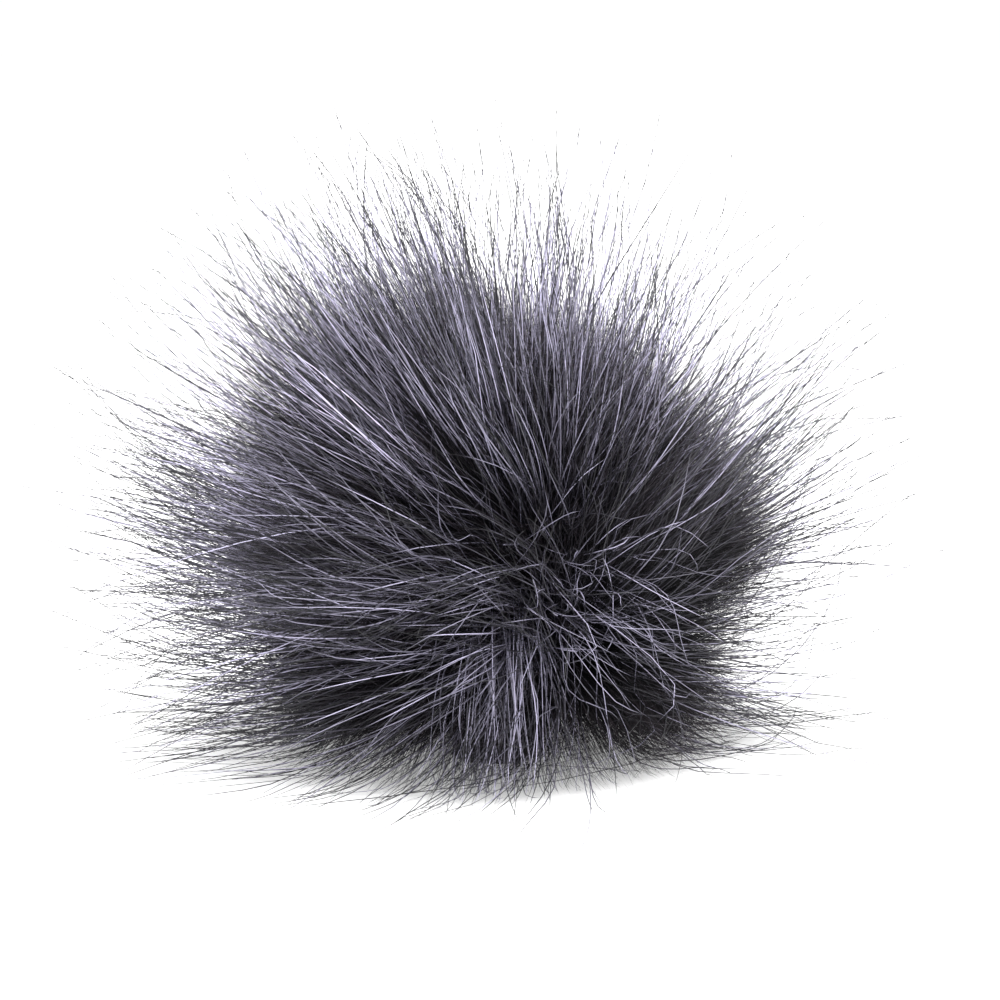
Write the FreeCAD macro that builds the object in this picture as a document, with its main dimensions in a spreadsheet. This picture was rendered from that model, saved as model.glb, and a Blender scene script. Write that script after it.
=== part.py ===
# Head of a lavalier microphone in its two windscreens, in millimetres.
#
# A round metal body holds an electret capsule in a rubber sleeve, a small filter board and, in
# its tail, a socket for a detachable lead. A slotted cap covers the capsule, an open-cell foam
# windscreen covers the cap, and a fur windscreen covers the foam. The fur windscreen is a bag of
# two half panels with long pile, sewn together front and back, whose mouth is bound over an
# elastic cord. Every piece is centred on the same axis.
#
# Origin: on the ground, under the middle of the microphone. +Z: the way the microphone points.
# The panels' seam lies in the plane X = 0.
import FreeCAD, Part
import math
import os
import re
import Sketcher

OUT_FOLDER = "parts"
VOLUME_TOLERANCE = 0.03

# Driving sizes. Heights are measured up from the ground.
SIZES = {
    # microphone body
    "body_radius": 4.0,
    "body_wall": 0.6,
    "edge_chamfer": 0.3,
    "clip_seat_top": 4.3,
    "clip_groove_depth": 0.2,
    "clip_groove_width": 0.8,
    "grip_groove_height": 8.6,
    "grip_groove_width": 0.3,
    "grip_groove_depth": 0.15,
    "grip_groove_span": 2.4,
    "shoulder_height": 15.5,
    "spigot_height": 1.5,
    "spigot_clearance": 0.02,
    # lead socket in the tail
    "socket_radius": 2.0,
    "socket_depth": 4.5,
    "socket_floor": 2.0,
    "insulator_radius": 1.2,
    "contact_radius": 0.45,
    "contact_length": 3.5,
    # filter board and its wires
    "board_width": 5.4,
    "board_thickness": 0.6,
    "board_bottom": 6.9,
    "board_top": 12.9,
    "chip_length": 1.0,
    "chip_width": 0.5,
    "chip_column": 1.6,
    "chip_row": 1.6,
    "chip_first_row": 9.2,
    "wire_radius": 0.2,
    "wire_spacing": 2.4,
    "wire_bottom": 11.5,
    # electret capsule
    "capsule_radius": 3.0,
    "capsule_bottom": 14.0,
    "capsule_height": 2.7,
    "can_wall": 0.2,
    "can_lip": 0.4,
    "sound_hole_radius": 0.9,
    "stack_clearance": 0.05,
    "board_disc_thickness": 0.3,
    "ring_width": 0.45,
    "diaphragm_ring_height": 0.4,
    "diaphragm_thickness": 0.05,
    "spacer_thickness": 0.1,
    "plate_thickness": 0.3,
    "plate_radius": 2.4,
    "plate_hole_radius": 0.3,
    "plate_hole_circle": 1.3,
    "plate_seat_clearance": 0.05,
    "holder_bore": 2.0,
    "gate_ring_radius": 1.9,
    "gate_ring_wall": 0.4,
    "fet_length": 1.2,
    "fet_width": 0.8,
    "fet_height": 0.4,
    # rubber sleeve, felt and mesh over the capsule
    "sleeve_lip": 0.4,
    "sleeve_lip_width": 0.5,
    "felt_gap": 0.1,
    "mesh_thickness": 0.1,
    "mesh_radius": 3.6,
    # slotted cap
    "cap_skirt_wall": 0.32,
    "cap_wall": 0.7,
    "cap_top": 21.5,
    "cap_edge_radius": 2.0,
    "cap_step": 17.2,
    "slot_bottom": 17.9,
    "slot_height": 1.5,
    "slot_width": 0.9,
    "slot_count": 8,
    "port_radius": 0.35,
    "port_circle": 1.15,
    "port_count": 6,
    # foam windscreen
    "foam_radius": 6.4,
    "foam_bottom": 6.0,
    "foam_bore_clearance": 0.08,
    "foam_bore_top": 22.0,
    "dome_centre": 20.5,
    # fur windscreen
    "backing_clearance": 0.5,
    "backing_thickness": 0.8,
    "mouth_bottom": 5.0,
    "mouth_top": 7.4,
    "mouth_radius": 6.85,
    "binding_width": 1.45,
    "tunnel_radius": 0.5,
    "elastic_radius": 0.45,
    "pile_radius": 33.0,
    "pile_centre": 21.0,
    "recess_radius": 9.0,
    # seam stitches
    "stitch_radius": 0.1,
    "stitch_length": 1.2,
    "stitch_gap": 0.18,
    "stitch_pitch": 1.5,
    "stitch_first": 8.4,
}

# Formulas that several pieces share.
BORE = "body_radius - body_wall"
SPIGOT_RADIUS = "body_radius - cap_skirt_wall"
SPIGOT_TOP = "shoulder_height + spigot_height"
CAN_INNER = "capsule_radius - can_wall"
STACK_RADIUS = "capsule_radius - can_wall - stack_clearance"
CAPSULE_TOP = "capsule_bottom + capsule_height"
STACK_TOP = f"{CAPSULE_TOP} - can_wall"
DIAPHRAGM_TOP = f"{STACK_TOP} - diaphragm_ring_height"
SPACER_TOP = f"{DIAPHRAGM_TOP} - diaphragm_thickness"
PLATE_TOP = f"{SPACER_TOP} - spacer_thickness"
PLATE_BOTTOM = f"{PLATE_TOP} - plate_thickness"
DISC_BOTTOM = "capsule_bottom + can_wall"
DISC_TOP = f"{DISC_BOTTOM} + board_disc_thickness"
BOARD_FACE = "contact_radius"
BACKING_INNER = "foam_radius + backing_clearance"
BACKING_OUTER = f"{BACKING_INNER} + backing_thickness"
TUNNEL_CENTRE = "mouth_radius + binding_width / 2"
TUNNEL_HEIGHT = "mouth_bottom + binding_width / 2"
GROUND_RADIUS = "sqrt(pile_radius ^ 2 - pile_centre ^ 2)"
AXIS = "0"

doc = FreeCAD.newDocument("LavalierMicrophone")
subparts = []


def make_sheet():
    """The driving sizes as aliased cells."""
    sheet = doc.addObject("Spreadsheet::Sheet", "Sizes")
    for row, (name, size) in enumerate(SIZES.items(), start=1):
        sheet.set(f"A{row}", name)
        sheet.set(f"B{row}", str(size))
        sheet.setAlias(f"B{row}", name)
    doc.recompute()
    return sheet


def cells(formula):
    """The formula with every size name pointing at its cell."""
    return re.sub(r"[a-z][a-z_]+", lambda word: refer(word.group(0)), formula)


def refer(word):
    return f"Sizes.{word}" if word in SIZES else word


def value(formula):
    """The formula's present value."""
    return float(sheet.evalExpression(cells(formula)))


def bind(item, **formulas):
    """Ties properties of an object to the sheet."""
    for name, formula in formulas.items():
        item.setExpression(name, cells(formula))


def keep(item, label):
    """Names a finished sub-part and puts it on the export list."""
    item.Label = label
    subparts.append(item)
    return item


def origin_feature(body, role):
    return next(item for item in body.Origin.OriginFeatures if item.Role == role)


def new_sketch(body, name, plane):
    """An empty sketch on one of the body's own origin planes."""
    sketch = body.newObject("Sketcher::SketchObject", name)
    sketch.AttachmentSupport = [(origin_feature(body, plane), "")]
    sketch.MapMode = "FlatFace"
    return sketch


def pin_coordinate(sketch, kind, edge, point, formula):
    """Fixes one coordinate of a sketch point to a formula, or to the axis where it is zero."""
    if formula == AXIS:
        axis = -2 if kind == "DistanceX" else -1
        sketch.addConstraint(Sketcher.Constraint("PointOnObject", edge, point, axis))
        return
    index = sketch.addConstraint(Sketcher.Constraint(kind, edge, point, value(formula)))
    sketch.setExpression(f"Constraints[{index}]", cells(formula))


def draw_outline(sketch, outline):
    """A closed outline of corners (across, up); a third item is the centre of an arc to it."""
    points = [FreeCAD.Vector(value(corner[0]), value(corner[1]), 0) for corner in outline]
    heads = []
    tails = []
    for index, corner in enumerate(outline):
        start = points[index - 1]
        end = points[index]
        if len(corner) == 2:
            edge = sketch.addGeometry(Part.LineSegment(start, end), False)
            heads.append((edge, 1))
            tails.append((edge, 2))
            continue
        centre = FreeCAD.Vector(value(corner[2][0]), value(corner[2][1]), 0)
        turns_left = (start - centre).cross(end - centre).z > -1e-9
        first, last = (start, end) if turns_left else (end, start)
        from_angle = math.atan2(first.y - centre.y, first.x - centre.x)
        to_angle = math.atan2(last.y - centre.y, last.x - centre.x)
        if to_angle <= from_angle:
            to_angle += 2 * math.pi
        circle = Part.Circle(centre, FreeCAD.Vector(0, 0, 1), (start - centre).Length)
        edge = sketch.addGeometry(Part.ArcOfCircle(circle, from_angle, to_angle), False)
        heads.append((edge, 1 if turns_left else 2))
        tails.append((edge, 2 if turns_left else 1))
        pin_coordinate(sketch, "DistanceY", edge, 3, corner[2][1])
    for index, corner in enumerate(outline):
        joint = Sketcher.Constraint("Coincident", *tails[index - 1], *heads[index])
        sketch.addConstraint(joint)
        pin_coordinate(sketch, "DistanceX", *tails[index], corner[0])
        pin_coordinate(sketch, "DistanceY", *tails[index], corner[1])


def draw_circle(sketch, across, up, radius):
    centre = FreeCAD.Vector(value(across), value(up), 0)
    circle = Part.Circle(centre, FreeCAD.Vector(0, 0, 1), value(radius))
    edge = sketch.addGeometry(circle, False)
    pin_coordinate(sketch, "DistanceX", edge, 3, across)
    pin_coordinate(sketch, "DistanceY", edge, 3, up)
    index = sketch.addConstraint(Sketcher.Constraint("Radius", edge, value(radius)))
    sketch.setExpression(f"Constraints[{index}]", cells(radius))


def rectangle(left, bottom, right, top):
    return [(left, bottom), (right, bottom), (right, top), (left, top)]


def ring(inner, outer, bottom, top):
    """Cross-section of a plain ring, or of a disc where the inner radius is the axis."""
    return rectangle(inner, bottom, outer, top)


def turned(label, outline, half=None):
    """A body turned about Z from its cross-section; half is "left", "right" or None."""
    body = doc.addObject("PartDesign::Body", label)
    sketch = new_sketch(body, f"{label}_section", "YZ_Plane" if half else "XZ_Plane")
    draw_outline(sketch, outline)
    turn = body.newObject("PartDesign::Revolution", f"{label}_turn")
    turn.Profile = sketch
    turn.ReferenceAxis = (sketch, ["V_Axis"])
    turn.Angle = 180 if half else 360
    turn.Reversed = half == "right"
    return keep(body, label)


def compare_cut(name, before, after, expected):
    """Stops if a cut took away a different volume from the one its sizes give."""
    removed = before - after
    print(f"{name}: cut {removed:.3f} mm3, expected {expected:.3f} mm3")
    if abs(removed - expected) > VOLUME_TOLERANCE * expected:
        raise ValueError(f"{name} cut the wrong volume")


def cut_pattern(body, name, plane, draw, depth, count, expected, forward):
    """A pocket from an origin plane, repeated around Z, with its volume compared."""
    doc.recompute()
    before = body.Shape.Volume
    sketch = new_sketch(body, f"{name}_sketch", plane)
    draw(sketch)
    pocket = body.newObject("PartDesign::Pocket", name)
    pocket.Profile = sketch
    pocket.Length = depth
    pocket.Reversed = forward
    pattern = body.newObject("PartDesign::PolarPattern", f"{name}_pattern")
    pattern.Originals = [pocket]
    pattern.Axis = (origin_feature(body, "Z_Axis"), [""])
    pattern.Angle = 360
    pattern.Occurrences = int(value(count))
    body.Tip = pattern
    doc.recompute()
    compare_cut(name, before, body.Shape.Volume, expected)


# Microphone body and tail ---------------------------------------------------------------------


def make_housing():
    """Round body with a chamfered clip seat, a clip groove, grip grooves and a spigot."""
    groove_radius = "body_radius - clip_groove_depth"
    groove_top = "clip_seat_top + clip_groove_width"
    outline = [
        (BORE, AXIS),
        ("body_radius - edge_chamfer", AXIS),
        ("body_radius", "edge_chamfer"),
        ("body_radius", "clip_seat_top"),
        (groove_radius, "clip_seat_top"),
        (groove_radius, groove_top),
        ("body_radius", groove_top),
        ("body_radius", "shoulder_height"),
        (SPIGOT_RADIUS, "shoulder_height"),
        (SPIGOT_RADIUS, SPIGOT_TOP),
        (BORE, SPIGOT_TOP),
    ]
    body = turned("housing", outline)
    doc.recompute()
    before = body.Shape.Volume
    sketch = new_sketch(body, "grip_groove_section", "XZ_Plane")
    floor_radius = "body_radius - grip_groove_depth"
    groove_end = "grip_groove_height + grip_groove_width"
    outer = "body_radius + grip_groove_depth"
    draw_outline(sketch, rectangle(floor_radius, "grip_groove_height", outer, groove_end))
    groove = body.newObject("PartDesign::Groove", "grip_groove")
    groove.Profile = sketch
    groove.ReferenceAxis = (sketch, ["V_Axis"])
    groove.Angle = 360
    pattern = body.newObject("PartDesign::LinearPattern", "grip_grooves")
    pattern.Originals = [groove]
    pattern.Direction = (origin_feature(body, "Z_Axis"), [""])
    pattern.Occurrences = 4
    bind(pattern, Length="grip_groove_span")
    body.Tip = pattern
    doc.recompute()
    one = math.pi * (value("body_radius") ** 2 - value(floor_radius) ** 2)
    expected = pattern.Occurrences * one * value("grip_groove_width")
    compare_cut("grip_grooves", before, body.Shape.Volume, expected)


def make_tail():
    """Metal insert with the lead's socket, and the insulated contact in the socket's floor."""
    insert_top = "socket_depth + socket_floor"
    outline = [
        ("socket_radius", AXIS),
        (BORE, AXIS),
        (BORE, insert_top),
        ("insulator_radius", insert_top),
        ("insulator_radius", "socket_depth"),
        ("socket_radius", "socket_depth"),
    ]
    turned("tail_insert", outline)
    turned("contact_insulator", ring("contact_radius", "insulator_radius", "socket_depth", insert_top))
    contact = doc.addObject("Part::Cylinder", "centre_contact")
    bind(contact, Radius="contact_radius", Height="contact_length")
    contact.setExpression("Placement.Base.z", cells("socket_depth"))
    keep(contact, "centre_contact")


def box_at(name, size, corner):
    """A box bound to the sheet by its three sizes and its lowest corner."""
    box = doc.addObject("Part::Box", name)
    bind(box, Length=size[0], Width=size[1], Height=size[2])
    for axis, formula in zip("xyz", corner):
        box.setExpression(f"Placement.Base.{axis}", cells(formula))
    return box


def make_board():
    """Upright filter board soldered to the contact, its four chips and its two wires."""
    height = "board_top - board_bottom"
    corner = ("-board_width / 2", BOARD_FACE, "board_bottom")
    keep(box_at("filter_board", ("board_width", "board_thickness", height), corner), "filter_board")
    chips = []
    for row in range(2):
        for side in (-1, 1):
            across = f"{side} * chip_column - chip_length / 2"
            up = f"chip_first_row + {row} * chip_row"
            size = ("chip_length", "chip_width", "chip_width")
            corner = (across, f"{BOARD_FACE} - chip_width", up)
            chips.append(box_at(f"chip_{row}_{'left' if side < 0 else 'right'}", size, corner))
    group = doc.addObject("Part::Compound", "chip_capacitors")
    group.Links = chips
    keep(group, "chip_capacitors")
    for name, side in (("signal_wire", -1), ("ground_wire", 1)):
        wire = doc.addObject("Part::Cylinder", name)
        bind(wire, Radius="wire_radius", Height=f"{DISC_BOTTOM} - wire_bottom")
        wire.setExpression("Placement.Base.x", cells(f"{side} * wire_spacing / 2"))
        wire.setExpression("Placement.Base.y", cells(f"{BOARD_FACE} + board_thickness + wire_radius"))
        wire.setExpression("Placement.Base.z", cells("wire_bottom"))
        keep(wire, name)


# Capsule ---------------------------------------------------------------------------------------


def make_capsule():
    """Electret capsule: can, diaphragm on its ring, spacer, backplate, holder and circuit."""
    can = [
        (f"{CAN_INNER} - can_lip", "capsule_bottom"),
        ("capsule_radius", "capsule_bottom"),
        ("capsule_radius", CAPSULE_TOP),
        ("sound_hole_radius", CAPSULE_TOP),
        ("sound_hole_radius", STACK_TOP),
        (CAN_INNER, STACK_TOP),
        (CAN_INNER, DISC_BOTTOM),
        (f"{CAN_INNER} - can_lip", DISC_BOTTOM),
    ]
    turned("capsule_can", can)
    ring_inner = f"{STACK_RADIUS} - ring_width"
    turned("diaphragm_ring", ring(ring_inner, STACK_RADIUS, DIAPHRAGM_TOP, STACK_TOP))
    turned("diaphragm", ring(AXIS, STACK_RADIUS, SPACER_TOP, DIAPHRAGM_TOP))
    turned("spacer_washer", ring(ring_inner, STACK_RADIUS, PLATE_TOP, SPACER_TOP))
    make_backplate()
    seat = "plate_radius + plate_seat_clearance"
    holder = [
        ("holder_bore", DISC_TOP),
        (STACK_RADIUS, DISC_TOP),
        (STACK_RADIUS, PLATE_TOP),
        (seat, PLATE_TOP),
        (seat, PLATE_BOTTOM),
        ("holder_bore", PLATE_BOTTOM),
    ]
    turned("backplate_holder", holder)
    gate_inner = "gate_ring_radius - gate_ring_wall"
    turned("gate_ring", ring(gate_inner, "gate_ring_radius", DISC_TOP, PLATE_BOTTOM))
    turned("capsule_board", ring(AXIS, STACK_RADIUS, DISC_BOTTOM, DISC_TOP))
    corner = ("-fet_length / 2", "-fet_width / 2", DISC_TOP)
    keep(box_at("fet_chip", ("fet_length", "fet_width", "fet_height"), corner), "fet_chip")


def make_backplate():
    """Perforated disc behind the diaphragm."""
    body = turned("backplate", ring(AXIS, "plate_radius", PLATE_BOTTOM, PLATE_TOP))
    expected = 6 * math.pi * value("plate_hole_radius") ** 2 * value("plate_thickness")

    def draw(sketch):
        draw_circle(sketch, "plate_hole_circle", AXIS, "plate_hole_radius")

    cut_pattern(body, "plate_holes", "XY_Plane", draw, value(CAPSULE_TOP), "6", expected, True)


def make_sleeve():
    """Rubber sleeve that holds the capsule, with the felt in its lip and the mesh over both."""
    lower_lip = "capsule_radius - sleeve_lip"
    upper_lip = "capsule_radius - sleeve_lip_width"
    sleeve = [
        (lower_lip, "capsule_bottom - sleeve_lip"),
        (BORE, "capsule_bottom - sleeve_lip"),
        (BORE, SPIGOT_TOP),
        (upper_lip, SPIGOT_TOP),
        (upper_lip, CAPSULE_TOP),
        ("capsule_radius", CAPSULE_TOP),
        ("capsule_radius", "capsule_bottom"),
        (lower_lip, "capsule_bottom"),
    ]
    turned("capsule_sleeve", sleeve)
    turned("dust_felt", ring(AXIS, f"{upper_lip} - felt_gap", CAPSULE_TOP, SPIGOT_TOP))
    turned("acoustic_mesh", ring(AXIS, "mesh_radius", SPIGOT_TOP, f"{SPIGOT_TOP} + mesh_thickness"))


# Cap and foam ----------------------------------------------------------------------------------


def make_cap():
    """Slotted cap that pushes over the spigot, and the fine mesh tube inside its slots."""
    skirt_inner = f"{SPIGOT_RADIUS} + spigot_clearance"
    inner = "body_radius - cap_wall"
    edge_centre = ("body_radius - cap_edge_radius", "cap_top - cap_edge_radius")
    outline = [
        (skirt_inner, "shoulder_height"),
        ("body_radius", "shoulder_height"),
        ("body_radius", edge_centre[1]),
        (edge_centre[0], "cap_top", edge_centre),
        (AXIS, "cap_top"),
        (AXIS, "cap_top - cap_wall"),
        (edge_centre[0], "cap_top - cap_wall"),
        (inner, edge_centre[1], edge_centre),
        (inner, "cap_step"),
        (skirt_inner, "cap_step"),
    ]
    body = turned("grille_cap", outline)
    half_slot = "slot_width / 2"
    slot_top = "slot_bottom + slot_height"
    wall = value("cap_wall")
    one_slot = value("slot_width") * wall * value("slot_height")

    def draw_slot(sketch):
        draw_outline(sketch, rectangle(f"-{half_slot}", "slot_bottom", half_slot, slot_top))

    def draw_port(sketch):
        draw_circle(sketch, "port_circle", AXIS, "port_radius")

    reach = value("body_radius") + 1
    slots = value("slot_count") * one_slot
    cut_pattern(body, "slots", "XZ_Plane", draw_slot, reach, "slot_count", slots, False)
    ports = value("port_count") * math.pi * value("port_radius") ** 2 * wall
    cut_pattern(body, "ports", "XY_Plane", draw_port, value("cap_top") + 1, "port_count", ports, True)
    mesh_outer = f"{inner} - spigot_clearance"
    mesh_inner = f"{mesh_outer} - mesh_thickness"
    turned("grille_mesh", ring(mesh_inner, mesh_outer, "cap_step", f"{edge_centre[1]} - felt_gap"))


def make_foam():
    """Open-cell foam windscreen: a domed cylinder with a blind bore."""
    bore = "body_radius + foam_bore_clearance"
    outline = [
        (bore, "foam_bottom"),
        ("foam_radius", "foam_bottom"),
        ("foam_radius", "dome_centre"),
        (AXIS, "dome_centre + foam_radius", (AXIS, "dome_centre")),
        (AXIS, "foam_bore_top"),
        (bore, "foam_bore_top"),
    ]
    turned("foam_windscreen", outline)


# Fur windscreen --------------------------------------------------------------------------------


def make_backing(half):
    """Knitted backing of one fur panel: half of a domed bag, open at the mouth."""
    dome = (AXIS, "dome_centre")
    outline = [
        (BACKING_INNER, "mouth_top"),
        (BACKING_OUTER, "mouth_top"),
        (BACKING_OUTER, "dome_centre"),
        (AXIS, f"dome_centre + {BACKING_OUTER}", dome),
        (AXIS, f"dome_centre + {BACKING_INNER}"),
        (BACKING_INNER, "dome_centre", dome),
    ]
    turned(f"backing_{half}", outline, half)


def make_pile(half):
    """Pile of one fur panel, as the space its hairs fill, with a recess around the mouth."""
    outline = [
        ("recess_radius", AXIS),
        (GROUND_RADIUS, AXIS),
        (AXIS, "pile_centre + pile_radius", (AXIS, "pile_centre")),
        (AXIS, f"dome_centre + {BACKING_OUTER}"),
        (BACKING_OUTER, "dome_centre", (AXIS, "dome_centre")),
        (BACKING_OUTER, "mouth_top"),
        ("recess_radius", "mouth_top"),
    ]
    turned(f"pile_{half}", outline, half)


def make_mouth():
    """Binding folded round the mouth, and the elastic cord in its tunnel."""
    outer = "mouth_radius + binding_width"
    outline = [
        ("mouth_radius", "mouth_top"),
        ("mouth_radius", TUNNEL_HEIGHT),
        (outer, TUNNEL_HEIGHT, (TUNNEL_CENTRE, TUNNEL_HEIGHT)),
        (outer, "mouth_top"),
    ]
    body = doc.addObject("PartDesign::Body", "mouth_binding")
    sketch = new_sketch(body, "mouth_binding_section", "XZ_Plane")
    draw_outline(sketch, outline)
    draw_circle(sketch, TUNNEL_CENTRE, TUNNEL_HEIGHT, "tunnel_radius")
    turn = body.newObject("PartDesign::Revolution", "mouth_binding_turn")
    turn.Profile = sketch
    turn.ReferenceAxis = (sketch, ["V_Axis"])
    turn.Angle = 360
    keep(body, "mouth_binding")
    cord = doc.addObject("Part::Torus", "elastic_cord")
    bind(cord, Radius1=TUNNEL_CENTRE, Radius2="elastic_radius")
    cord.setExpression("Placement.Base.z", cells(TUNNEL_HEIGHT))
    keep(cord, "elastic_cord")


def make_stitches():
    """Stitches across the seam, inside the bag: front and back, and over the dome."""
    radius = value("stitch_radius")
    length = value("stitch_length")
    pitch = value("stitch_pitch")
    track = value(BACKING_INNER) - value("stitch_gap")
    dome = value("dome_centre")
    across = FreeCAD.Vector(1, 0, 0)
    spots = []
    straight_count = int((dome - value("stitch_first")) / pitch) + 1
    for index in range(straight_count):
        height = value("stitch_first") + index * pitch
        spots.append((-track, height))
        spots.append((track, height))
    dome_count = int(math.pi * track / pitch)
    for index in range(1, dome_count):
        angle = math.pi * index / dome_count
        spots.append((track * math.cos(angle), dome + track * math.sin(angle)))
    stitches = []
    for depth, height in spots:
        start = FreeCAD.Vector(-length / 2, depth, height)
        stitches.append(Part.makeCylinder(radius, length, start, across))
    thread = doc.addObject("Part::Feature", "seam_thread")
    thread.Shape = Part.makeCompound(stitches)
    thread.Placement = FreeCAD.Placement()
    keep(thread, "seam_thread")


def check_and_export():
    """Stops on a failed object, then writes every sub-part to its own file."""
    doc.recompute()
    failed = [item.Name for item in doc.Objects if {"Invalid", "Error"} & set(item.State)]
    if failed:
        raise ValueError(f"failed objects: {failed}")
    for item in subparts:
        shape = item.Shape
        if shape.isNull() or not shape.isValid() or shape.Volume <= 0:
            raise ValueError(f"bad shape: {item.Label}")
    for name in ("signal_wire", "ground_wire"):
        section = math.pi * value("wire_radius") ** 2
        expected = section * value(f"{DISC_BOTTOM} - wire_bottom")
        volume = doc.getObject(name).Shape.Volume
        print(f"{name}: {volume:.4f} mm3, section times length {expected:.4f} mm3")
    os.makedirs(OUT_FOLDER, exist_ok=True)
    for item in subparts:
        item.Shape.exportStep(os.path.join(OUT_FOLDER, f"{item.Label}.step"))
        box = item.Shape.BoundBox
        print(f"{item.Label}: {len(item.Shape.Solids)} solid, {item.Shape.Volume:.2f} mm3, "
              f"Z {box.ZMin:.2f} to {box.ZMax:.2f}")
    print(f"{len(subparts)} sub-parts")


sheet = make_sheet()
make_housing()
make_tail()
make_board()
make_capsule()
make_sleeve()
make_cap()
make_foam()
for side in ("left", "right"):
    make_backing(side)
    make_pile(side)
make_mouth()
make_stitches()
check_and_export()
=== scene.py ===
import math

import bpy
import numpy as np
from mathutils import Matrix, Vector


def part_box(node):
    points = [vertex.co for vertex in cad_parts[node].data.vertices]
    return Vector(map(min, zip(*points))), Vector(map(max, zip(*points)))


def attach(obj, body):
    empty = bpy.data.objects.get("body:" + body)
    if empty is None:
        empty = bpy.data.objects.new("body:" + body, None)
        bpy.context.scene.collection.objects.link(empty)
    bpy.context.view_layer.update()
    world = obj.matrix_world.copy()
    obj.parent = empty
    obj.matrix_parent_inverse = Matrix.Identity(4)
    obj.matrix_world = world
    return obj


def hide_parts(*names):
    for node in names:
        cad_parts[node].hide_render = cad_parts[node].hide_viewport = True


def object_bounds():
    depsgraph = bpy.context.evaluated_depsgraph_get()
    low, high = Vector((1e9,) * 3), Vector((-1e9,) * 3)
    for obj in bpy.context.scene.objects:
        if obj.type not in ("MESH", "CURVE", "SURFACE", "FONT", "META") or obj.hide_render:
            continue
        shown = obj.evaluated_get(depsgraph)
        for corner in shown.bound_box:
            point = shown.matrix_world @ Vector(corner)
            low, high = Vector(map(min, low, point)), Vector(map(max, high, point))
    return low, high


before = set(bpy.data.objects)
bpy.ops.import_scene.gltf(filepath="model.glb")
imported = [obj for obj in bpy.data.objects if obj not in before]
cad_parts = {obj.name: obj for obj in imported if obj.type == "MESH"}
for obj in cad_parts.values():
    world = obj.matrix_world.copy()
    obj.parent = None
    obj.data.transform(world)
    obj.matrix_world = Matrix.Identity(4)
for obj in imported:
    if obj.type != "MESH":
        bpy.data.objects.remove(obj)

cadLow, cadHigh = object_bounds()
print("frame loaded:", len(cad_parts), "nodes")

mm = 0.001

view = {
    "azimuth": -42.0,       # degrees, brings the parting to the right of the middle
    "elevation": 8.0,
    "lens": 135.0,
    "distance": 0.352,
    "aimHeight": 0.0245,
    "aimSide": 0.0005,
}

studio = {
    "floorHalf": 2.5,
    "floorColour": (0.72, 0.72, 0.72, 1.0),
    "floorGlow": 0.42,              # as of a lit table, so that shadows stay pale
    "worldStrength": 1.02,
    "sunFrom": (-0.36, -0.40, 1.0),
    "sunStrength": 6.6,
    "sunSpread": 50.0,              # degrees, as wide as a large softbox overhead
}


def setCamera():
    turn = math.radians(view["azimuth"])
    lift = math.radians(view["elevation"])
    back = Vector((math.sin(turn) * math.cos(lift), -math.cos(turn) * math.cos(lift), math.sin(lift)))
    side = Vector((math.cos(turn), math.sin(turn), 0.0))
    aim = Vector((0.0, 0.0, view["aimHeight"])) + side * view["aimSide"]
    data = bpy.data.cameras.new("mainCamera")
    data.lens = view["lens"]
    data.clip_start = 0.01
    data.clip_end = 20.0
    camera = bpy.data.objects.new("mainCamera", data)
    camera.location = aim + back * view["distance"]
    camera.rotation_euler = (-back).to_track_quat("-Z", "Y").to_euler()
    bpy.context.collection.objects.link(camera)
    bpy.context.scene.camera = camera


def softSun():
    data = bpy.data.lights.new("overheadSoftbox", "SUN")
    data.energy = studio["sunStrength"]
    data.angle = math.radians(studio["sunSpread"])
    light = bpy.data.objects.new("overheadSoftbox", data)
    light.location = Vector(studio["sunFrom"]) * 0.4
    light.rotation_euler = (-Vector(studio["sunFrom"])).to_track_quat("-Z", "Y").to_euler()
    bpy.context.collection.objects.link(light)


def newMaterial(name):
    material = bpy.data.materials.new(name)
    material.use_nodes = True
    return material, material.node_tree, material.node_tree.nodes["Principled BSDF"]


def setStudio():
    bpy.ops.object.select_all(action="DESELECT")
    bpy.ops.mesh.primitive_plane_add(size=2 * studio["floorHalf"])
    floor = bpy.context.object
    floor.name = "studioFloor"
    material, _, shader = newMaterial("paleFloor")
    shader.inputs["Base Color"].default_value = studio["floorColour"]
    shader.inputs["Roughness"].default_value = 0.9
    shader.inputs["Specular IOR Level"].default_value = 0.1
    shader.inputs["Emission Color"].default_value = (1.0, 1.0, 1.0, 1.0)
    shader.inputs["Emission Strength"].default_value = studio["floorGlow"]
    floor.data.materials.append(material)
    world = bpy.data.worlds.new("studioWorld")
    world.use_nodes = True
    background = world.node_tree.nodes["Background"]
    background.inputs["Color"].default_value = (1.0, 1.0, 1.0, 1.0)
    background.inputs["Strength"].default_value = studio["worldStrength"]
    bpy.context.scene.world = world
    bpy.context.scene.view_settings.view_transform = "Standard"
    softSun()


setCamera()
setStudio()
print("camera and studio set")


socketKinds = {1: "NodeSocketFloat", 3: "NodeSocketVector", 4: "NodeSocketColor"}


# a node group: its inputs by name with their first values, its outputs by name with their sizes
def newGroup(name, inputs, outputs):
    group = bpy.data.node_groups.new(name, "ShaderNodeTree")
    for label, start in inputs.items():
        kind = socketKinds[len(start) if isinstance(start, tuple) else 1]
        socket = group.interface.new_socket(name=label, in_out="INPUT", socket_type=kind)
        socket.default_value = start
    for label, size in outputs.items():
        group.interface.new_socket(name=label, in_out="OUTPUT", socket_type=socketKinds[size])
    return group, group.nodes.new("NodeGroupInput").outputs, group.nodes.new("NodeGroupOutput")


def closeGroup(group, leave, *sources):
    for socket, source in zip(leave.inputs, sources):
        group.links.new(source, socket)
    return group


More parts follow.
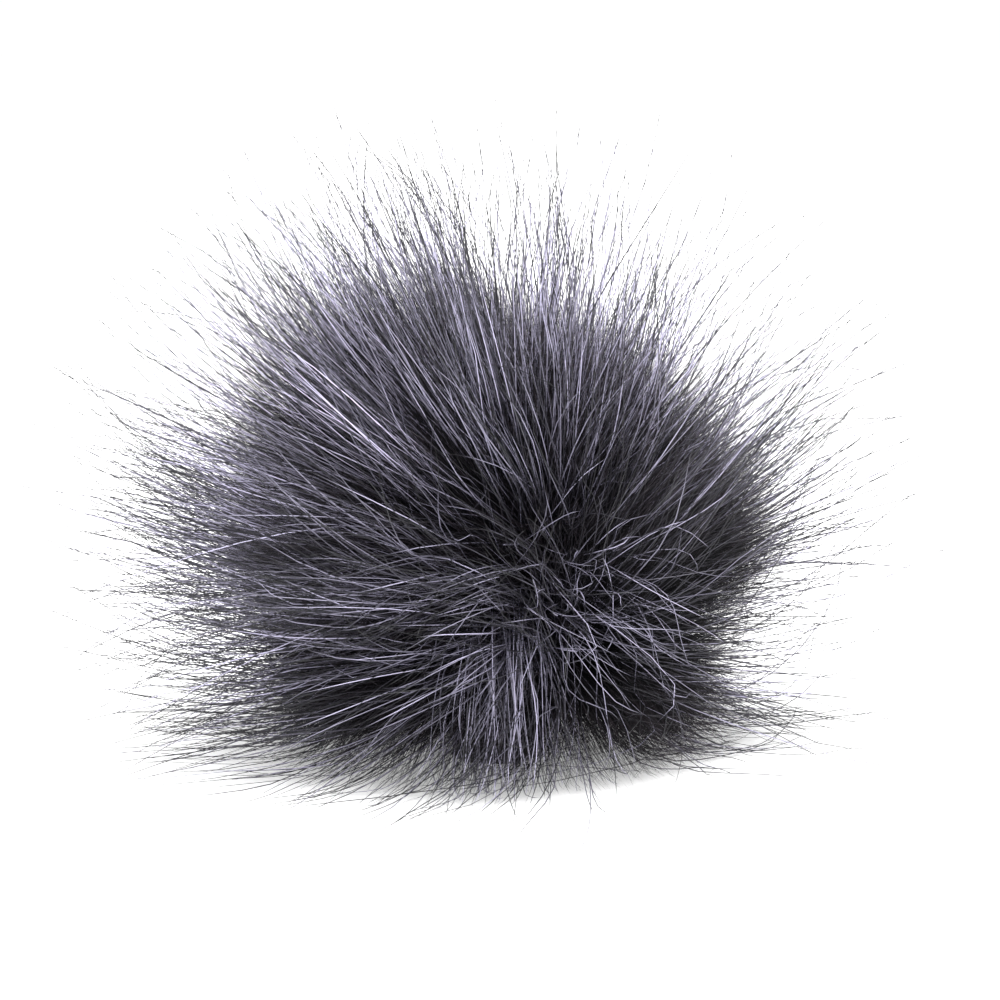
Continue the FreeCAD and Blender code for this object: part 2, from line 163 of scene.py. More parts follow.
# inputs are given by name, or by number as i0, i1 and so on
def addNode(tree, kind, settings=None, **inputs):
    node = tree.nodes.new(kind)
    for name, setting in (settings or {}).items():
        setattr(node, name, setting)
    for name, source in inputs.items():
        socket = node.inputs[int(name[1:])] if name[0] == "i" and name[1:].isdigit() else node.inputs[name]
        if isinstance(source, bpy.types.NodeSocket):
            tree.links.new(source, socket)
        else:
            socket.default_value = source
    return node


def mathNode(tree, operation, first, second=0.0):
    return addNode(tree, "ShaderNodeMath", {"operation": operation}, i0=first, i1=second).outputs[0]


def times(tree, first, second):
    return mathNode(tree, "MULTIPLY", first, second)


def plus(tree, first, second):
    return mathNode(tree, "ADD", first, second)


def minus(tree, first, second):
    return mathNode(tree, "SUBTRACT", first, second)


# round ribs, one for each whole step of the source
def ribs(tree, source):
    return mathNode(tree, "ABSOLUTE", mathNode(tree, "SINE", times(tree, source, math.pi)))


# a smooth step from 0 to 1 between two values of the source
def smoothStep(tree, source, start, end):
    return addNode(tree, "ShaderNodeMapRange", {"interpolation_type": "SMOOTHSTEP"}, i0=source, i1=start,
                   i2=end).outputs[0]


def between(tree, mask, low, high):
    return addNode(tree, "ShaderNodeMapRange", None, i0=mask, i3=low, i4=high).outputs[0]


def asColour(source):
    return source if isinstance(source, bpy.types.NodeSocket) else (*source, 1)


def mixColour(tree, mask, first, second):
    return addNode(tree, "ShaderNodeMix", {"data_type": "RGBA"}, i0=mask, i6=asColour(first),
                   i7=asColour(second)).outputs[2]


# where a point is on a round piece: millimetres from its axis and up, turns about the axis
def placeOnPiece():
    group, _, leave = newGroup("placeOnPiece", {}, {
        "Point": 3, "Across": 1, "Deep": 1, "Height": 1, "Turns": 1, "Radius": 1})
    coordinates = addNode(group, "ShaderNodeTexCoord")
    point = addNode(group, "ShaderNodeVectorMath", {"operation": "SCALE"},
                    i0=coordinates.outputs["Object"], Scale=1000.0).outputs[0]
    across, deep, height = addNode(group, "ShaderNodeSeparateXYZ", None, i0=point).outputs
    turns = mathNode(group, "DIVIDE", mathNode(group, "ARCTAN2", deep, across), 2 * math.pi)
    radius = mathNode(group, "SQRT", plus(group, times(group, across, across), times(group, deep, deep)))
    return closeGroup(group, leave, point, across, deep, height, turns, radius)


# uneven patches, from 0 to 1
def grainPatches():
    group, entry, leave = newGroup("grainPatches", {
        "Point": (0.0, 0.0, 0.0), "Scale": 8.0, "Detail": 4.0, "Contrast": 0.5}, {"Mask": 1})
    noise = addNode(group, "ShaderNodeTexNoise", None, Vector=entry["Point"], Scale=entry["Scale"],
                    Detail=entry["Detail"], Roughness=0.6).outputs[0]
    half = times(group, entry["Contrast"], 0.5)
    mask = smoothStep(group, noise, minus(group, 0.75, half), plus(group, 0.25, half))
    return closeGroup(group, leave, minus(group, 1.0, mask))


# fine rings left by a lathe, round the axis
def latheRings():
    group, entry, leave = newGroup("latheRings", {
        "Height": 0.0, "Radius": 0.0, "Turns": 0.0, "Pitch": 12.0}, {"Mask": 1})
    rings = addNode(group, "ShaderNodeCombineXYZ", None, i0=times(group, entry["Height"], entry["Pitch"]),
                    i1=times(group, entry["Radius"], entry["Pitch"]),
                    i2=times(group, mathNode(group, "ABSOLUTE", entry["Turns"]), 1.6)).outputs[0]
    noise = addNode(group, "ShaderNodeTexNoise", None, Vector=rings, Scale=1.0, Detail=3.0, Roughness=0.7)
    return closeGroup(group, leave, noise.outputs[0])


# worn or lighter bands near an edge, broken up by the grain
def edgeWear():
    group, entry, leave = newGroup("edgeWear", {
        "Height": 0.0, "Edge": 0.0, "Width": 0.15, "Grain": 0.5}, {"Mask": 1})
    far = mathNode(group, "ABSOLUTE", minus(group, entry["Height"], entry["Edge"]))
    near = minus(group, 1.0, mathNode(group, "DIVIDE", far, entry["Width"]))
    broken = times(group, near, plus(group, entry["Grain"], 0.35))
    return closeGroup(group, leave, smoothStep(group, broken, 0.25, 0.85))


# plain weave of round threads or wires, one thread for each whole step of Warp and Weft
def plainWeave():
    group, entry, leave = newGroup("plainWeave", {"Warp": 0.0, "Weft": 0.0}, {"Height": 1, "Gap": 1})
    warp, weft = [mathNode(group, "POWER", ribs(group, entry[label]), 0.6) for label in ("Warp", "Weft")]
    steps = plus(group, mathNode(group, "FLOOR", entry["Warp"]), mathNode(group, "FLOOR", entry["Weft"]))
    over = times(group, mathNode(group, "PINGPONG", steps, 1.0), 0.4)
    height = mathNode(group, "MAXIMUM", times(group, warp, plus(group, over, 0.6)),
                      times(group, weft, minus(group, 1.0, over)))
    return closeGroup(group, leave, height, smoothStep(group, height, 0.62, 0.38))


# columns of knitted loops
def knitLoops():
    group, entry, leave = newGroup("knitLoops", {"Column": 0.0, "Row": 0.0}, {"Height": 1})
    side = mathNode(group, "ABSOLUTE", minus(group, mathNode(group, "FRACT", entry["Column"]), 0.5))
    loop = ribs(group, plus(group, entry["Row"], times(group, side, 1.3)))
    valley = mathNode(group, "SINE", times(group, side, 2 * math.pi))
    shape = times(group, mathNode(group, "POWER", loop, 0.7), plus(group, times(group, valley, 0.6), 0.4))
    return closeGroup(group, leave, shape)


# plies of a twisted or braided thread
def twistedPlies():
    group, entry, leave = newGroup("twistedPlies", {"Along": 0.0, "Around": 0.0}, {"Height": 1})
    plies = ribs(group, plus(group, entry["Along"], entry["Around"]))
    return closeGroup(group, leave, mathNode(group, "POWER", plies, 0.6))


placeGroup = placeOnPiece()
grainGroup = grainPatches()
ringGroup = latheRings()
wearGroup = edgeWear()
weaveGroup = plainWeave()
knitGroup = knitLoops()
twistGroup = twistedPlies()


def useGroup(tree, group, **inputs):
    return addNode(tree, "ShaderNodeGroup", {"node_tree": group}, **inputs)


def newSurface(name):
    material, tree, _ = newMaterial(name)
    return material, tree, useGroup(tree, placeGroup).outputs


def patches(tree, place, scale, contrast=0.5, detail=4.0):
    return useGroup(tree, grainGroup, Point=place["Point"], Scale=scale, Detail=detail,
                    Contrast=contrast).outputs[0]


def weave(tree, warp, weft):
    return useGroup(tree, weaveGroup, Warp=warp, Weft=weft).outputs


# links what changes over the surface, and sets the rest on the shader's own sockets
def finishSurface(material, look, colour, roughness, height, metallic=0.0, specular=0.5, sheen=0.0):
    tree = material.node_tree
    shader = tree.nodes["Principled BSDF"]
    bump = addNode(tree, "ShaderNodeBump", None, Height=height, Distance=look["depth"] * mm,
                   Strength=1.0)
    tree.links.new(colour, shader.inputs["Base Color"])
    tree.links.new(roughness, shader.inputs["Roughness"])
    tree.links.new(bump.outputs[0], shader.inputs["Normal"])
    shader.inputs["Metallic"].default_value = metallic
    shader.inputs["Specular IOR Level"].default_value = specular
    shader.inputs["Sheen Weight"].default_value = sheen
    return material


# moulded, painted and pressed pieces: colour and finish vary with a fine grain and wider patches
def grainySurface(name, look):
    material, tree, place = newSurface(name)
    grain = patches(tree, place, look["grain"], 0.6)
    wide = patches(tree, place, look["grain"] * 0.12, 0.7, 2.0)
    colour = mixColour(tree, grain, look["colour"], look["second"])
    colour = mixColour(tree, between(tree, wide, 0.0, 0.35), colour, look["dusty"])
    roughness = between(tree, times(tree, plus(tree, grain, wide), 0.5), look["smooth"], look["rough"])
    for edge in look.get("wornEdges", []):
        worn = useGroup(tree, wearGroup, Height=place["Height"], Edge=edge, Grain=grain).outputs[0]
        colour = mixColour(tree, worn, colour, look["wornColour"])
    return finishSurface(material, look, colour, roughness, grain, specular=look.get("specular", 0.5))


# turned metal: lathe rings in the finish, with a slight tarnish
def turnedSurface(name, look):
    material, tree, place = newSurface(name)
    rings = useGroup(tree, ringGroup, Height=place["Height"], Radius=place["Radius"], Turns=place["Turns"],
                     Pitch=look["pitch"]).outputs[0]
    tarnish = patches(tree, place, 1.1, 0.7)
    colour = mixColour(tree, rings, look["colour"], look["second"])
    colour = mixColour(tree, between(tree, tarnish, 0.0, 0.5), colour, look["tarnish"])
    roughness = between(tree, rings, look["smooth"], look["rough"])
    return finishSurface(material, look, colour, roughness, rings, metallic=1.0)


# woven steel wire, flat on the top and wrapped round the side, with the holes between the wires painted
# near-black as painted shade
def wireCloth(name, look):
    material, tree, place = newSurface(name)
    across, deep, up = [times(tree, place[label], look["wires"]) for label in ("Across", "Deep", "Height")]
    around = times(tree, place["Turns"], round(2 * math.pi * look["sideFrom"] * look["wires"]))
    onSide = mathNode(tree, "GREATER_THAN", place["Radius"], look["sideFrom"])
    wire = weave(tree, between(tree, onSide, across, around), between(tree, onSide, deep, up))
    # painted shade: the holes between the wires are near-black
    colour = mixColour(tree, wire["Gap"], look["colour"], look["gapShade"])
    colour = mixColour(tree, between(tree, patches(tree, place, 1.5), 0.0, 0.4), colour, look["tarnish"])
    roughness = between(tree, wire["Height"], look["rough"], look["smooth"])
    return finishSurface(material, look, colour, roughness, wire["Height"], metallic=1.0)


# glass-fibre board: green lacquer over a fine weave
def boardSurface(name, look):
    material, tree, place = newSurface(name)
    up = plus(tree, place["Height"], place["Deep"])
    glass = weave(tree, times(tree, place["Across"], look["threads"]), times(tree, up, look["threads"]))
    colour = mixColour(tree, glass["Height"], look["colour"], look["second"])
    tracks = weave(tree, times(tree, place["Across"], 0.9), times(tree, up, 0.55))
    colour = mixColour(tree, between(tree, tracks["Gap"], 0.0, 0.6), colour, look["track"])
    roughness = between(tree, glass["Height"], look["rough"], look["smooth"])
    return finishSurface(material, look, colour, roughness, glass["Height"])


# chip capacitors: fired body with a plated cap at each end
def chipSurface(name, look):
    material, tree, place = newSurface(name)
    fromAxis = mathNode(tree, "ABSOLUTE", place["Across"])
    fromMiddle = mathNode(tree, "ABSOLUTE", minus(tree, fromAxis, look["middle"]))
    plated = mathNode(tree, "GREATER_THAN", fromMiddle, look["bodyHalf"])
    grain = patches(tree, place, 9.0, 0.6)
    body = mixColour(tree, grain, look["colour"], look["second"])
    colour = mixColour(tree, plated, body, look["plating"])
    tree.links.new(plated, tree.nodes["Principled BSDF"].inputs["Metallic"])
    return finishSurface(material, look, colour, between(tree, plated, 0.55, 0.3), grain)


# stretched metallised film, with faint radial tension lines
def filmSurface(name, look):
    material, tree, place = newSurface(name)
    cloud = patches(tree, place, 2.0, 0.8)
    lines = times(tree, ribs(tree, times(tree, place["Turns"], look["lines"])), cloud)
    colour = mixColour(tree, lines, look["colour"], look["second"])
    roughness = between(tree, cloud, look["smooth"], look["rough"])
    return finishSurface(material, look, colour, roughness, lines, metallic=0.9)


# pressed or fibrous cloth: short fibres at two scales
def fibreSurface(name, look):
    material, tree, place = newSurface(name)
    fibres = patches(tree, place, look["grain"], 0.4, 8.0)
    clumps = patches(tree, place, look["grain"] * 0.25, 0.6, 3.0)
    colour = mixColour(tree, fibres, look["colour"], look["second"])
    colour = mixColour(tree, between(tree, clumps, 0.0, 0.5), colour, look["clump"])
    roughness = between(tree, clumps, look["smooth"], look["rough"])
    return finishSurface(material, look, colour, roughness, plus(tree, fibres, clumps), specular=0.2,
                         sheen=look["sheen"])


# twisted or braided thread that runs round the mouth or along a seam, painted darker in the grooves between
# its plies as painted shade
def threadSurface(name, look):
    material, tree, place = newSurface(name)
    around = times(tree, plus(tree, place["Height"], place["Radius"]), look["slant"])
    plies = useGroup(tree, twistGroup, Along=times(tree, place[look["along"]], look["pitch"]),
                     Around=around).outputs[0]
    fuzz = patches(tree, place, 18.0, 0.6)
    # painted shade: the grooves between the plies darker, the ply crests lighter
    colour = mixColour(tree, plies, look["colour"], look["second"])
    colour = mixColour(tree, between(tree, fuzz, 0.0, 0.3), colour, look["second"])
    roughness = between(tree, plies, look["rough"], look["smooth"])
    return finishSurface(material, look, colour, roughness, plus(tree, plies, times(tree, fuzz, 0.3)))


finishes = {
    "body_paint": (grainySurface, {
        "colour": (0.008, 0.008, 0.010), "second": (0.020, 0.020, 0.023), "dusty": (0.030, 0.029, 0.030),
        "grain": 16.0, "smooth": 0.34, "rough": 0.52, "depth": 0.010,
        "specular": 0.28, "wornEdges": [0.0, 15.5], "wornColour": (0.20, 0.195, 0.19),
    }),
    "cap_paint": (grainySurface, {
        "colour": (0.010, 0.010, 0.012), "second": (0.026, 0.026, 0.029), "dusty": (0.036, 0.035, 0.036),
        "grain": 18.0, "smooth": 0.30, "rough": 0.48, "depth": 0.010,
        "specular": 0.28, "wornEdges": [15.5, 21.3], "wornColour": (0.20, 0.195, 0.19),
    }),
    "socket_plating": (turnedSurface, {
        "colour": (0.62, 0.60, 0.56), "second": (0.74, 0.72, 0.68), "tarnish": (0.42, 0.40, 0.36),
        "pitch": 14.0, "smooth": 0.20, "rough": 0.38, "depth": 0.006,
    }),
    "contact_plating": (turnedSurface, {
        "colour": (0.86, 0.62, 0.24), "second": (0.95, 0.74, 0.36), "tarnish": (0.60, 0.40, 0.16),
        "pitch": 22.0, "smooth": 0.16, "rough": 0.32, "depth": 0.004,
    }),
    "insulator_plastic": (grainySurface, {
        "colour": (0.72, 0.71, 0.67), "second": (0.80, 0.79, 0.76), "dusty": (0.60, 0.57, 0.50),
        "grain": 9.0, "smooth": 0.38, "rough": 0.55, "depth": 0.006,
    }),
    "board_laminate": (boardSurface, {
        "colour": (0.012, 0.085, 0.040), "second": (0.022, 0.130, 0.060), "track": (0.040, 0.200, 0.090),
        "threads": 7.0, "smooth": 0.28, "rough": 0.45, "depth": 0.008,
    }),
    "chip_ceramic": (chipSurface, {
        "colour": (0.36, 0.25, 0.14), "second": (0.45, 0.33, 0.20), "plating": (0.66, 0.65, 0.62),
        "middle": 1.6, "bodyHalf": 0.28, "depth": 0.008,
    }),
    "wire_tin": (threadSurface, {
        "colour": (0.52, 0.51, 0.49), "second": (0.70, 0.69, 0.66), "along": "Height", "pitch": 3.0,
        "slant": 2.0, "smooth": 0.25, "rough": 0.40, "depth": 0.004,
    }),
    "capsule_aluminium": (turnedSurface, {
        "colour": (0.70, 0.70, 0.71), "second": (0.82, 0.82, 0.83), "tarnish": (0.55, 0.55, 0.55),
        "pitch": 18.0, "smooth": 0.24, "rough": 0.42, "depth": 0.005,
    }),
    "diaphragm_film": (filmSurface, {
        "colour": (0.78, 0.68, 0.44), "second": (0.90, 0.82, 0.60), "lines": 90.0, "smooth": 0.10,
        "rough": 0.24, "depth": 0.003,
    }),
    "spacer_plastic": (grainySurface, {
        "colour": (0.62, 0.42, 0.16), "second": (0.70, 0.50, 0.22), "dusty": (0.58, 0.46, 0.30),
        "grain": 7.0, "smooth": 0.22, "rough": 0.36, "depth": 0.003,
    }),
    "plate_brass": (turnedSurface, {
        "colour": (0.72, 0.52, 0.22), "second": (0.84, 0.64, 0.32), "tarnish": (0.42, 0.27, 0.12),
        "pitch": 16.0, "smooth": 0.22, "rough": 0.40, "depth": 0.005,
    }),
    "holder_plastic": (grainySurface, {
        "colour": (0.030, 0.031, 0.034), "second": (0.045, 0.046, 0.050), "dusty": (0.070, 0.068, 0.066),
        "grain": 12.0, "smooth": 0.40, "rough": 0.58, "depth": 0.006,
    }),
    "fet_plastic": (grainySurface, {
        "colour": (0.014, 0.014, 0.015), "second": (0.026, 0.026, 0.028), "dusty": (0.05, 0.05, 0.05),
        "grain": 22.0, "smooth": 0.45, "rough": 0.65, "depth": 0.006,
    }),
    "sleeve_rubber": (grainySurface, {
        "colour": (0.020, 0.020, 0.021), "second": (0.034, 0.034, 0.035), "dusty": (0.085, 0.083, 0.080),
        "grain": 10.0, "smooth": 0.62, "rough": 0.85, "specular": 0.3, "depth": 0.010,
    }),
    "felt": (fibreSurface, {
        "colour": (0.020, 0.020, 0.023), "second": (0.075, 0.073, 0.080), "clump": (0.045, 0.044, 0.048),
        "grain": 16.0, "smooth": 0.85, "rough": 1.0, "sheen": 0.4, "depth": 0.05,
    }),
    "mesh_steel": (wireCloth, {
        "colour": (0.56, 0.55, 0.53), "gapShade": (0.010, 0.010, 0.011), "tarnish": (0.38, 0.36, 0.33),
        "wires": 5.0, "sideFrom": 3.18, "smooth": 0.26, "rough": 0.55, "depth": 0.06,
    }),
    "sewing_thread": (threadSurface, {
        "colour": (0.012, 0.012, 0.014), "second": (0.095, 0.092, 0.102), "along": "Height", "pitch": 4.0,
        "slant": 3.0, "smooth": 0.45, "rough": 0.75, "depth": 0.04,
    }),
    "elastic": (threadSurface, {
        "colour": (0.010, 0.010, 0.011), "second": (0.060, 0.059, 0.064), "along": "Turns", "pitch": 120.0,
        "slant": 3.5, "smooth": 0.50, "rough": 0.80, "depth": 0.05,
    }),
}

for slotName, (makeSurface, look) in finishes.items():
    surface = makeSurface(slotName + "Finish", look)
    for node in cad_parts.values():
        if node.data.materials[0].name == slotName:
            node.data.materials[0] = surface

# the flat mesh over the capsule is finer, and has no side
fineMesh = dict(finishes["mesh_steel"][1], wires=5.5, sideFrom=9.0)
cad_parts["acoustic_mesh"].data.materials[0] = wireCloth("fineMeshFinish", fineMesh)
print("finishes given to", len(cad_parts), "carried nodes")


# points along a line of corners, a step apart
def evenSteps(corners, step):
    corners = np.array(corners)
    runs = np.concatenate([[0], np.cumsum(np.linalg.norm(np.diff(corners, axis=0), axis=1))])
    at = np.linspace(0, runs[-1], max(2, round(runs[-1] / step) + 1))
    return list(zip(np.interp(at, runs, corners[:, 0]), np.interp(at, runs, corners[:, 1])))


def dome(radius, centre, fromDegrees, toDegrees, steps):
    turns = np.radians(np.linspace(fromDegrees, toDegrees, steps))
    return [(radius * math.cos(turn), centre + radius * math.sin(turn)) for turn in turns]


# a ring drawn out through a profile of (radius, height), left in edit mode
def drawOutRings(name, profile, count):
    bpy.ops.object.select_all(action="DESELECT")
    radius, height = profile[0]
    bpy.ops.mesh.primitive_circle_add(vertices=count, radius=radius, location=(0, 0, height))
    piece = bpy.context.object
    piece.name = name
    bpy.ops.object.transform_apply(location=True, rotation=True, scale=True)
    bpy.ops.object.mode_set(mode="EDIT")
    bpy.ops.mesh.select_all(action="SELECT")
    for nextRadius, nextHeight in profile[1:]:
        bpy.ops.mesh.extrude_edges_move(TRANSFORM_OT_translate={"value": (0, 0, nextHeight - height)})
        grow = nextRadius / radius
        bpy.ops.transform.resize(value=(grow, grow, 1), center_override=(0, 0, nextHeight))
        radius, height = nextRadius, nextHeight
    return piece


def selectOpenEdges():
    bpy.ops.mesh.select_all(action="DESELECT")
    bpy.ops.mesh.select_mode(type="EDGE")
    bpy.ops.mesh.select_non_manifold(extend=False, use_boundary=True, use_wire=False, use_multi_face=False,
                                     use_non_contiguous=False, use_verts=False)


def faceOutwards():
    bpy.ops.mesh.select_all(action="SELECT")
    bpy.ops.mesh.normals_make_consistent(inside=False)


def applyModifier(piece, kind, **settings):
    modifier = piece.modifiers.new(kind.lower(), kind)
    for name, setting in settings.items():
        setattr(modifier, name, setting)
    bpy.ops.object.select_all(action="DESELECT")
    bpy.context.view_layer.objects.active = piece
    piece.select_set(True)
    bpy.ops.object.modifier_apply(modifier=modifier.name)


def meshPoints(piece):
    points = np.zeros(len(piece.data.vertices) * 3)
    piece.data.vertices.foreach_get("co", points)
    return points.reshape(-1, 3)


def setMeshPoints(piece, points):
    piece.data.vertices.foreach_set("co", points.ravel())
    piece.data.update()


def setOnBody(piece, body, slotName, *nodes):
    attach(piece, body)
    if nodes:
        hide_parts(*nodes)


foam = {
    "bore": 4.08 * mm,
    "boreTop": 22.0 * mm,
    "lip": 0.45 * mm,                # rounding of the edges
    "evenWall": 1.2 * mm,            # how far from the bore the foam keeps its size
    "fill": 0.9,
    "around": 36,
    "ringStep": 1.3 * mm,
    "cellSize": 0.00045,
    "cellDepth": 0.42 * mm,
    "swell": 0.16 * mm,
}


# open-cell foam: pits of broken cells over a slightly uneven moulded body
def makeFoam():
    low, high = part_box("foam_windscreen")
    radius = high[0]
    centre = high[2] - radius
    bore, lip = foam["bore"], foam["lip"]
    corners = [(0.5 * mm, foam["boreTop"]), (bore - lip, foam["boreTop"]), (bore, foam["boreTop"] - lip),
               (bore, low[2] + lip), (bore + lip, low[2]), (radius - lip, low[2]), (radius, low[2] + lip),
               (radius, centre)] + dome(radius, centre, 8, 86, 12)
    piece = drawOutRings("foamWindscreen", evenSteps(corners, foam["ringStep"]), foam["around"])
    selectOpenEdges()
    bpy.ops.mesh.fill_holes(sides=0)
    faceOutwards()
    bpy.ops.object.mode_set(mode="OBJECT")
    applyModifier(piece, "SUBSURF", levels=3, render_levels=3)
    points = meshPoints(piece)
    around = np.arctan2(points[:, 1], points[:, 0])
    wave = np.sin(3 * around + points[:, 2] / (2.1 * mm)) * np.sin(points[:, 2] / (3.3 * mm) + 1)
    outside = np.hypot(points[:, 0], points[:, 1]) > bore + foam["evenWall"]
    dent = 1 - foam["swell"] / radius * (0.5 + 0.5 * wave)
    points[outside, :2] *= dent[outside, None]
    setMeshPoints(piece, points)
    cells = bpy.data.textures.new("foamCells", "VORONOI")
    cells.noise_scale = foam["cellSize"]
    cells.noise_intensity = 1.3
    applyModifier(piece, "DISPLACE", texture=cells, texture_coords="LOCAL", mid_level=1.0,
                  strength=foam["cellDepth"])
    bpy.ops.object.shade_smooth()
    piece.data.materials.append(foamSurface("openCellFoam", foamLook))
    setOnBody(piece, "foam", "foam", "foam_windscreen")
    print("foam windscreen:", len(piece.data.polygons), "faces")
    return piece


foamLook = {
    "strut": (0.030, 0.030, 0.033), "cell": (0.004, 0.004, 0.0045), "dusty": (0.060, 0.058, 0.060),
    "cells": 2.6, "smooth": 0.75, "rough": 0.95, "depth": 0.12,
}


# cell walls lighter than the cells, whose pits are painted darker as painted shade, with a little dust
def foamSurface(name, look):
    material, tree, place = newSurface(name)
    cells = addNode(tree, "ShaderNodeTexVoronoi", {"feature": "DISTANCE_TO_EDGE"}, Vector=place["Point"],
                    Scale=look["cells"]).outputs["Distance"]
    strut = smoothStep(tree, cells, 0.22, 0.04)
    dust = patches(tree, place, 0.7, 0.6)
    # painted shade: the pits between the cell walls take the darker colour
    colour = mixColour(tree, strut, look["cell"], look["strut"])
    colour = mixColour(tree, times(tree, strut, between(tree, dust, 0.0, 0.4)), colour, look["dusty"])
    roughness = between(tree, dust, look["smooth"], look["rough"])
    return finishSurface(material, look, colour, roughness, strut, specular=0.25)


foamPiece = makeFoam()

backing = {
    "around": 96,
    "ringStep": 0.9 * mm,
    "cloth": 0.8 * mm,
    "gathers": 26,
    "gatherDepth": 0.16 * mm,
    "gatherFade": 2.6 * mm,
    "flat": (0.0229, 0.0246),
    "area": 468e-6,
}

backingLook = {
    "colour": (0.004, 0.004, 0.005), "second": (0.022, 0.021, 0.024), "dusty": (0.034, 0.033, 0.036),
    "columns": 110.0, "rows": 2.8, "smooth": 0.75, "rough": 0.95, "depth": 0.10,
}


# knitted ground of the fur, its loops in columns that run up from the mouth; the raised loops painted lighter
# and the hollows between them darker, as painted shade
def knitSurface(name, look):
    material, tree, place = newSurface(name)
    loops = useGroup(tree, knitGroup, Column=times(tree, place["Turns"], look["columns"]),
                     Row=times(tree, place["Height"], look["rows"])).outputs[0]
    fuzz = patches(tree, place, 14.0, 0.5)
    # painted shade: the hollows between the loops darker, the raised loops lighter
    colour = mixColour(tree, loops, look["colour"], look["second"])
    colour = mixColour(tree, times(tree, fuzz, 0.35), colour, look["dusty"])
    roughness = between(tree, loops, look["rough"], look["smooth"])
    return finishSurface(material, look, colour, roughness, plus(tree, loops, times(tree, fuzz, 0.3)),
                         specular=0.25, sheen=0.08)


# one sewn half of the bag: a half shell, gathered where the mouth is bound
def makeBacking(side, surface):
    low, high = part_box("backing_" + side)
    radius = max(-low[0], high[0])
    centre = high[2] - radius
    corners = [(radius, low[2]), (radius, centre)] + dome(radius, centre, 6, 87, 14)
    piece = drawOutRings("backing_panel_" + side, evenSteps(corners, backing["ringStep"]), backing["around"])
    bpy.ops.mesh.select_all(action="DESELECT")
    bpy.ops.object.mode_set(mode="OBJECT")
    for vertex in piece.data.vertices:
        vertex.select = vertex.co.z > high[2] - 0.05 * mm
    bpy.ops.object.mode_set(mode="EDIT")
    bpy.ops.mesh.select_mode(type="VERT")
    bpy.ops.mesh.merge(type="CENTER")
    bpy.ops.mesh.select_all(action="SELECT")
    bpy.ops.mesh.bisect(plane_co=(0, 0, 0), plane_no=(1, 0, 0), clear_outer=side == "left",
                        clear_inner=side == "right")
    bpy.ops.mesh.select_all(action="SELECT")
    bpy.ops.mesh.remove_doubles(threshold=0.01 * mm)
    faceOutwards()
    bpy.ops.object.mode_set(mode="OBJECT")
    points = meshPoints(piece)
    around = np.arctan2(points[:, 1], points[:, 0])
    fade = np.exp(-(points[:, 2] - low[2]) / backing["gatherFade"])
    pulled = backing["gatherDepth"] * (0.5 + 0.5 * np.cos(around * backing["gathers"])) * fade
    points[:, :2] *= (1 - pulled / radius)[:, None]
    setMeshPoints(piece, points)
    outward = np.array([polygon.normal.dot(polygon.center) for polygon in piece.data.polygons])
    if outward.mean() < 0:
        bpy.ops.object.mode_set(mode="EDIT")
        bpy.ops.mesh.select_all(action="SELECT")
        bpy.ops.mesh.flip_normals()
        bpy.ops.object.mode_set(mode="OBJECT")
    applyModifier(piece, "SOLIDIFY", thickness=backing["cloth"], offset=-1.0, use_even_offset=True)
    bpy.ops.object.shade_smooth_by_angle(angle=math.radians(50))
    piece.data.materials.append(surface)
    setOnBody(piece, "fur", "knit_backing", "backing_" + side)
    return piece


knitBacking = knitSurface("knittedBacking", backingLook)
for side in ("left", "right"):
    makeBacking(side, knitBacking)
print("backing panels made")

binding = {
    "clothLap": 0.85 * mm,           # how far it reaches inside the knitted cloth
    "puckers": 44,
    "pucker": 0.18 * mm,
    "stitchRadius": 0.095 * mm,
    "stitchLength": 0.70 * mm,
    "stitchHeight": 1.75 * mm,       # above the lower edge
}

bindingLook = {
    "colour": (0.004, 0.004, 0.005), "second": (0.034, 0.033, 0.037), "dusty": (0.055, 0.053, 0.056),
    "around": 150.0, "threads": 5.0, "smooth": 0.60, "rough": 0.88, "depth": 0.05,
}


# ribbed tape: fine threads that lie on the slant, painted darker between the threads as painted shade
def tapeSurface(name, look):
    material, tree, place = newSurface(name)
    over = times(tree, plus(tree, place["Height"], place["Radius"]), look["threads"])
    threads = weave(tree, times(tree, place["Turns"], look["around"]), over)["Height"]
    worn = patches(tree, place, 2.2, 0.6)
    # painted shade: the grooves between the threads darker, the thread crests lighter
    colour = mixColour(tree, threads, look["colour"], look["second"])
    colour = mixColour(tree, times(tree, worn, 0.3), colour, look["dusty"])
    roughness = between(tree, threads, look["rough"], look["smooth"])
    return finishSurface(material, look, colour, roughness, threads, specular=0.3)


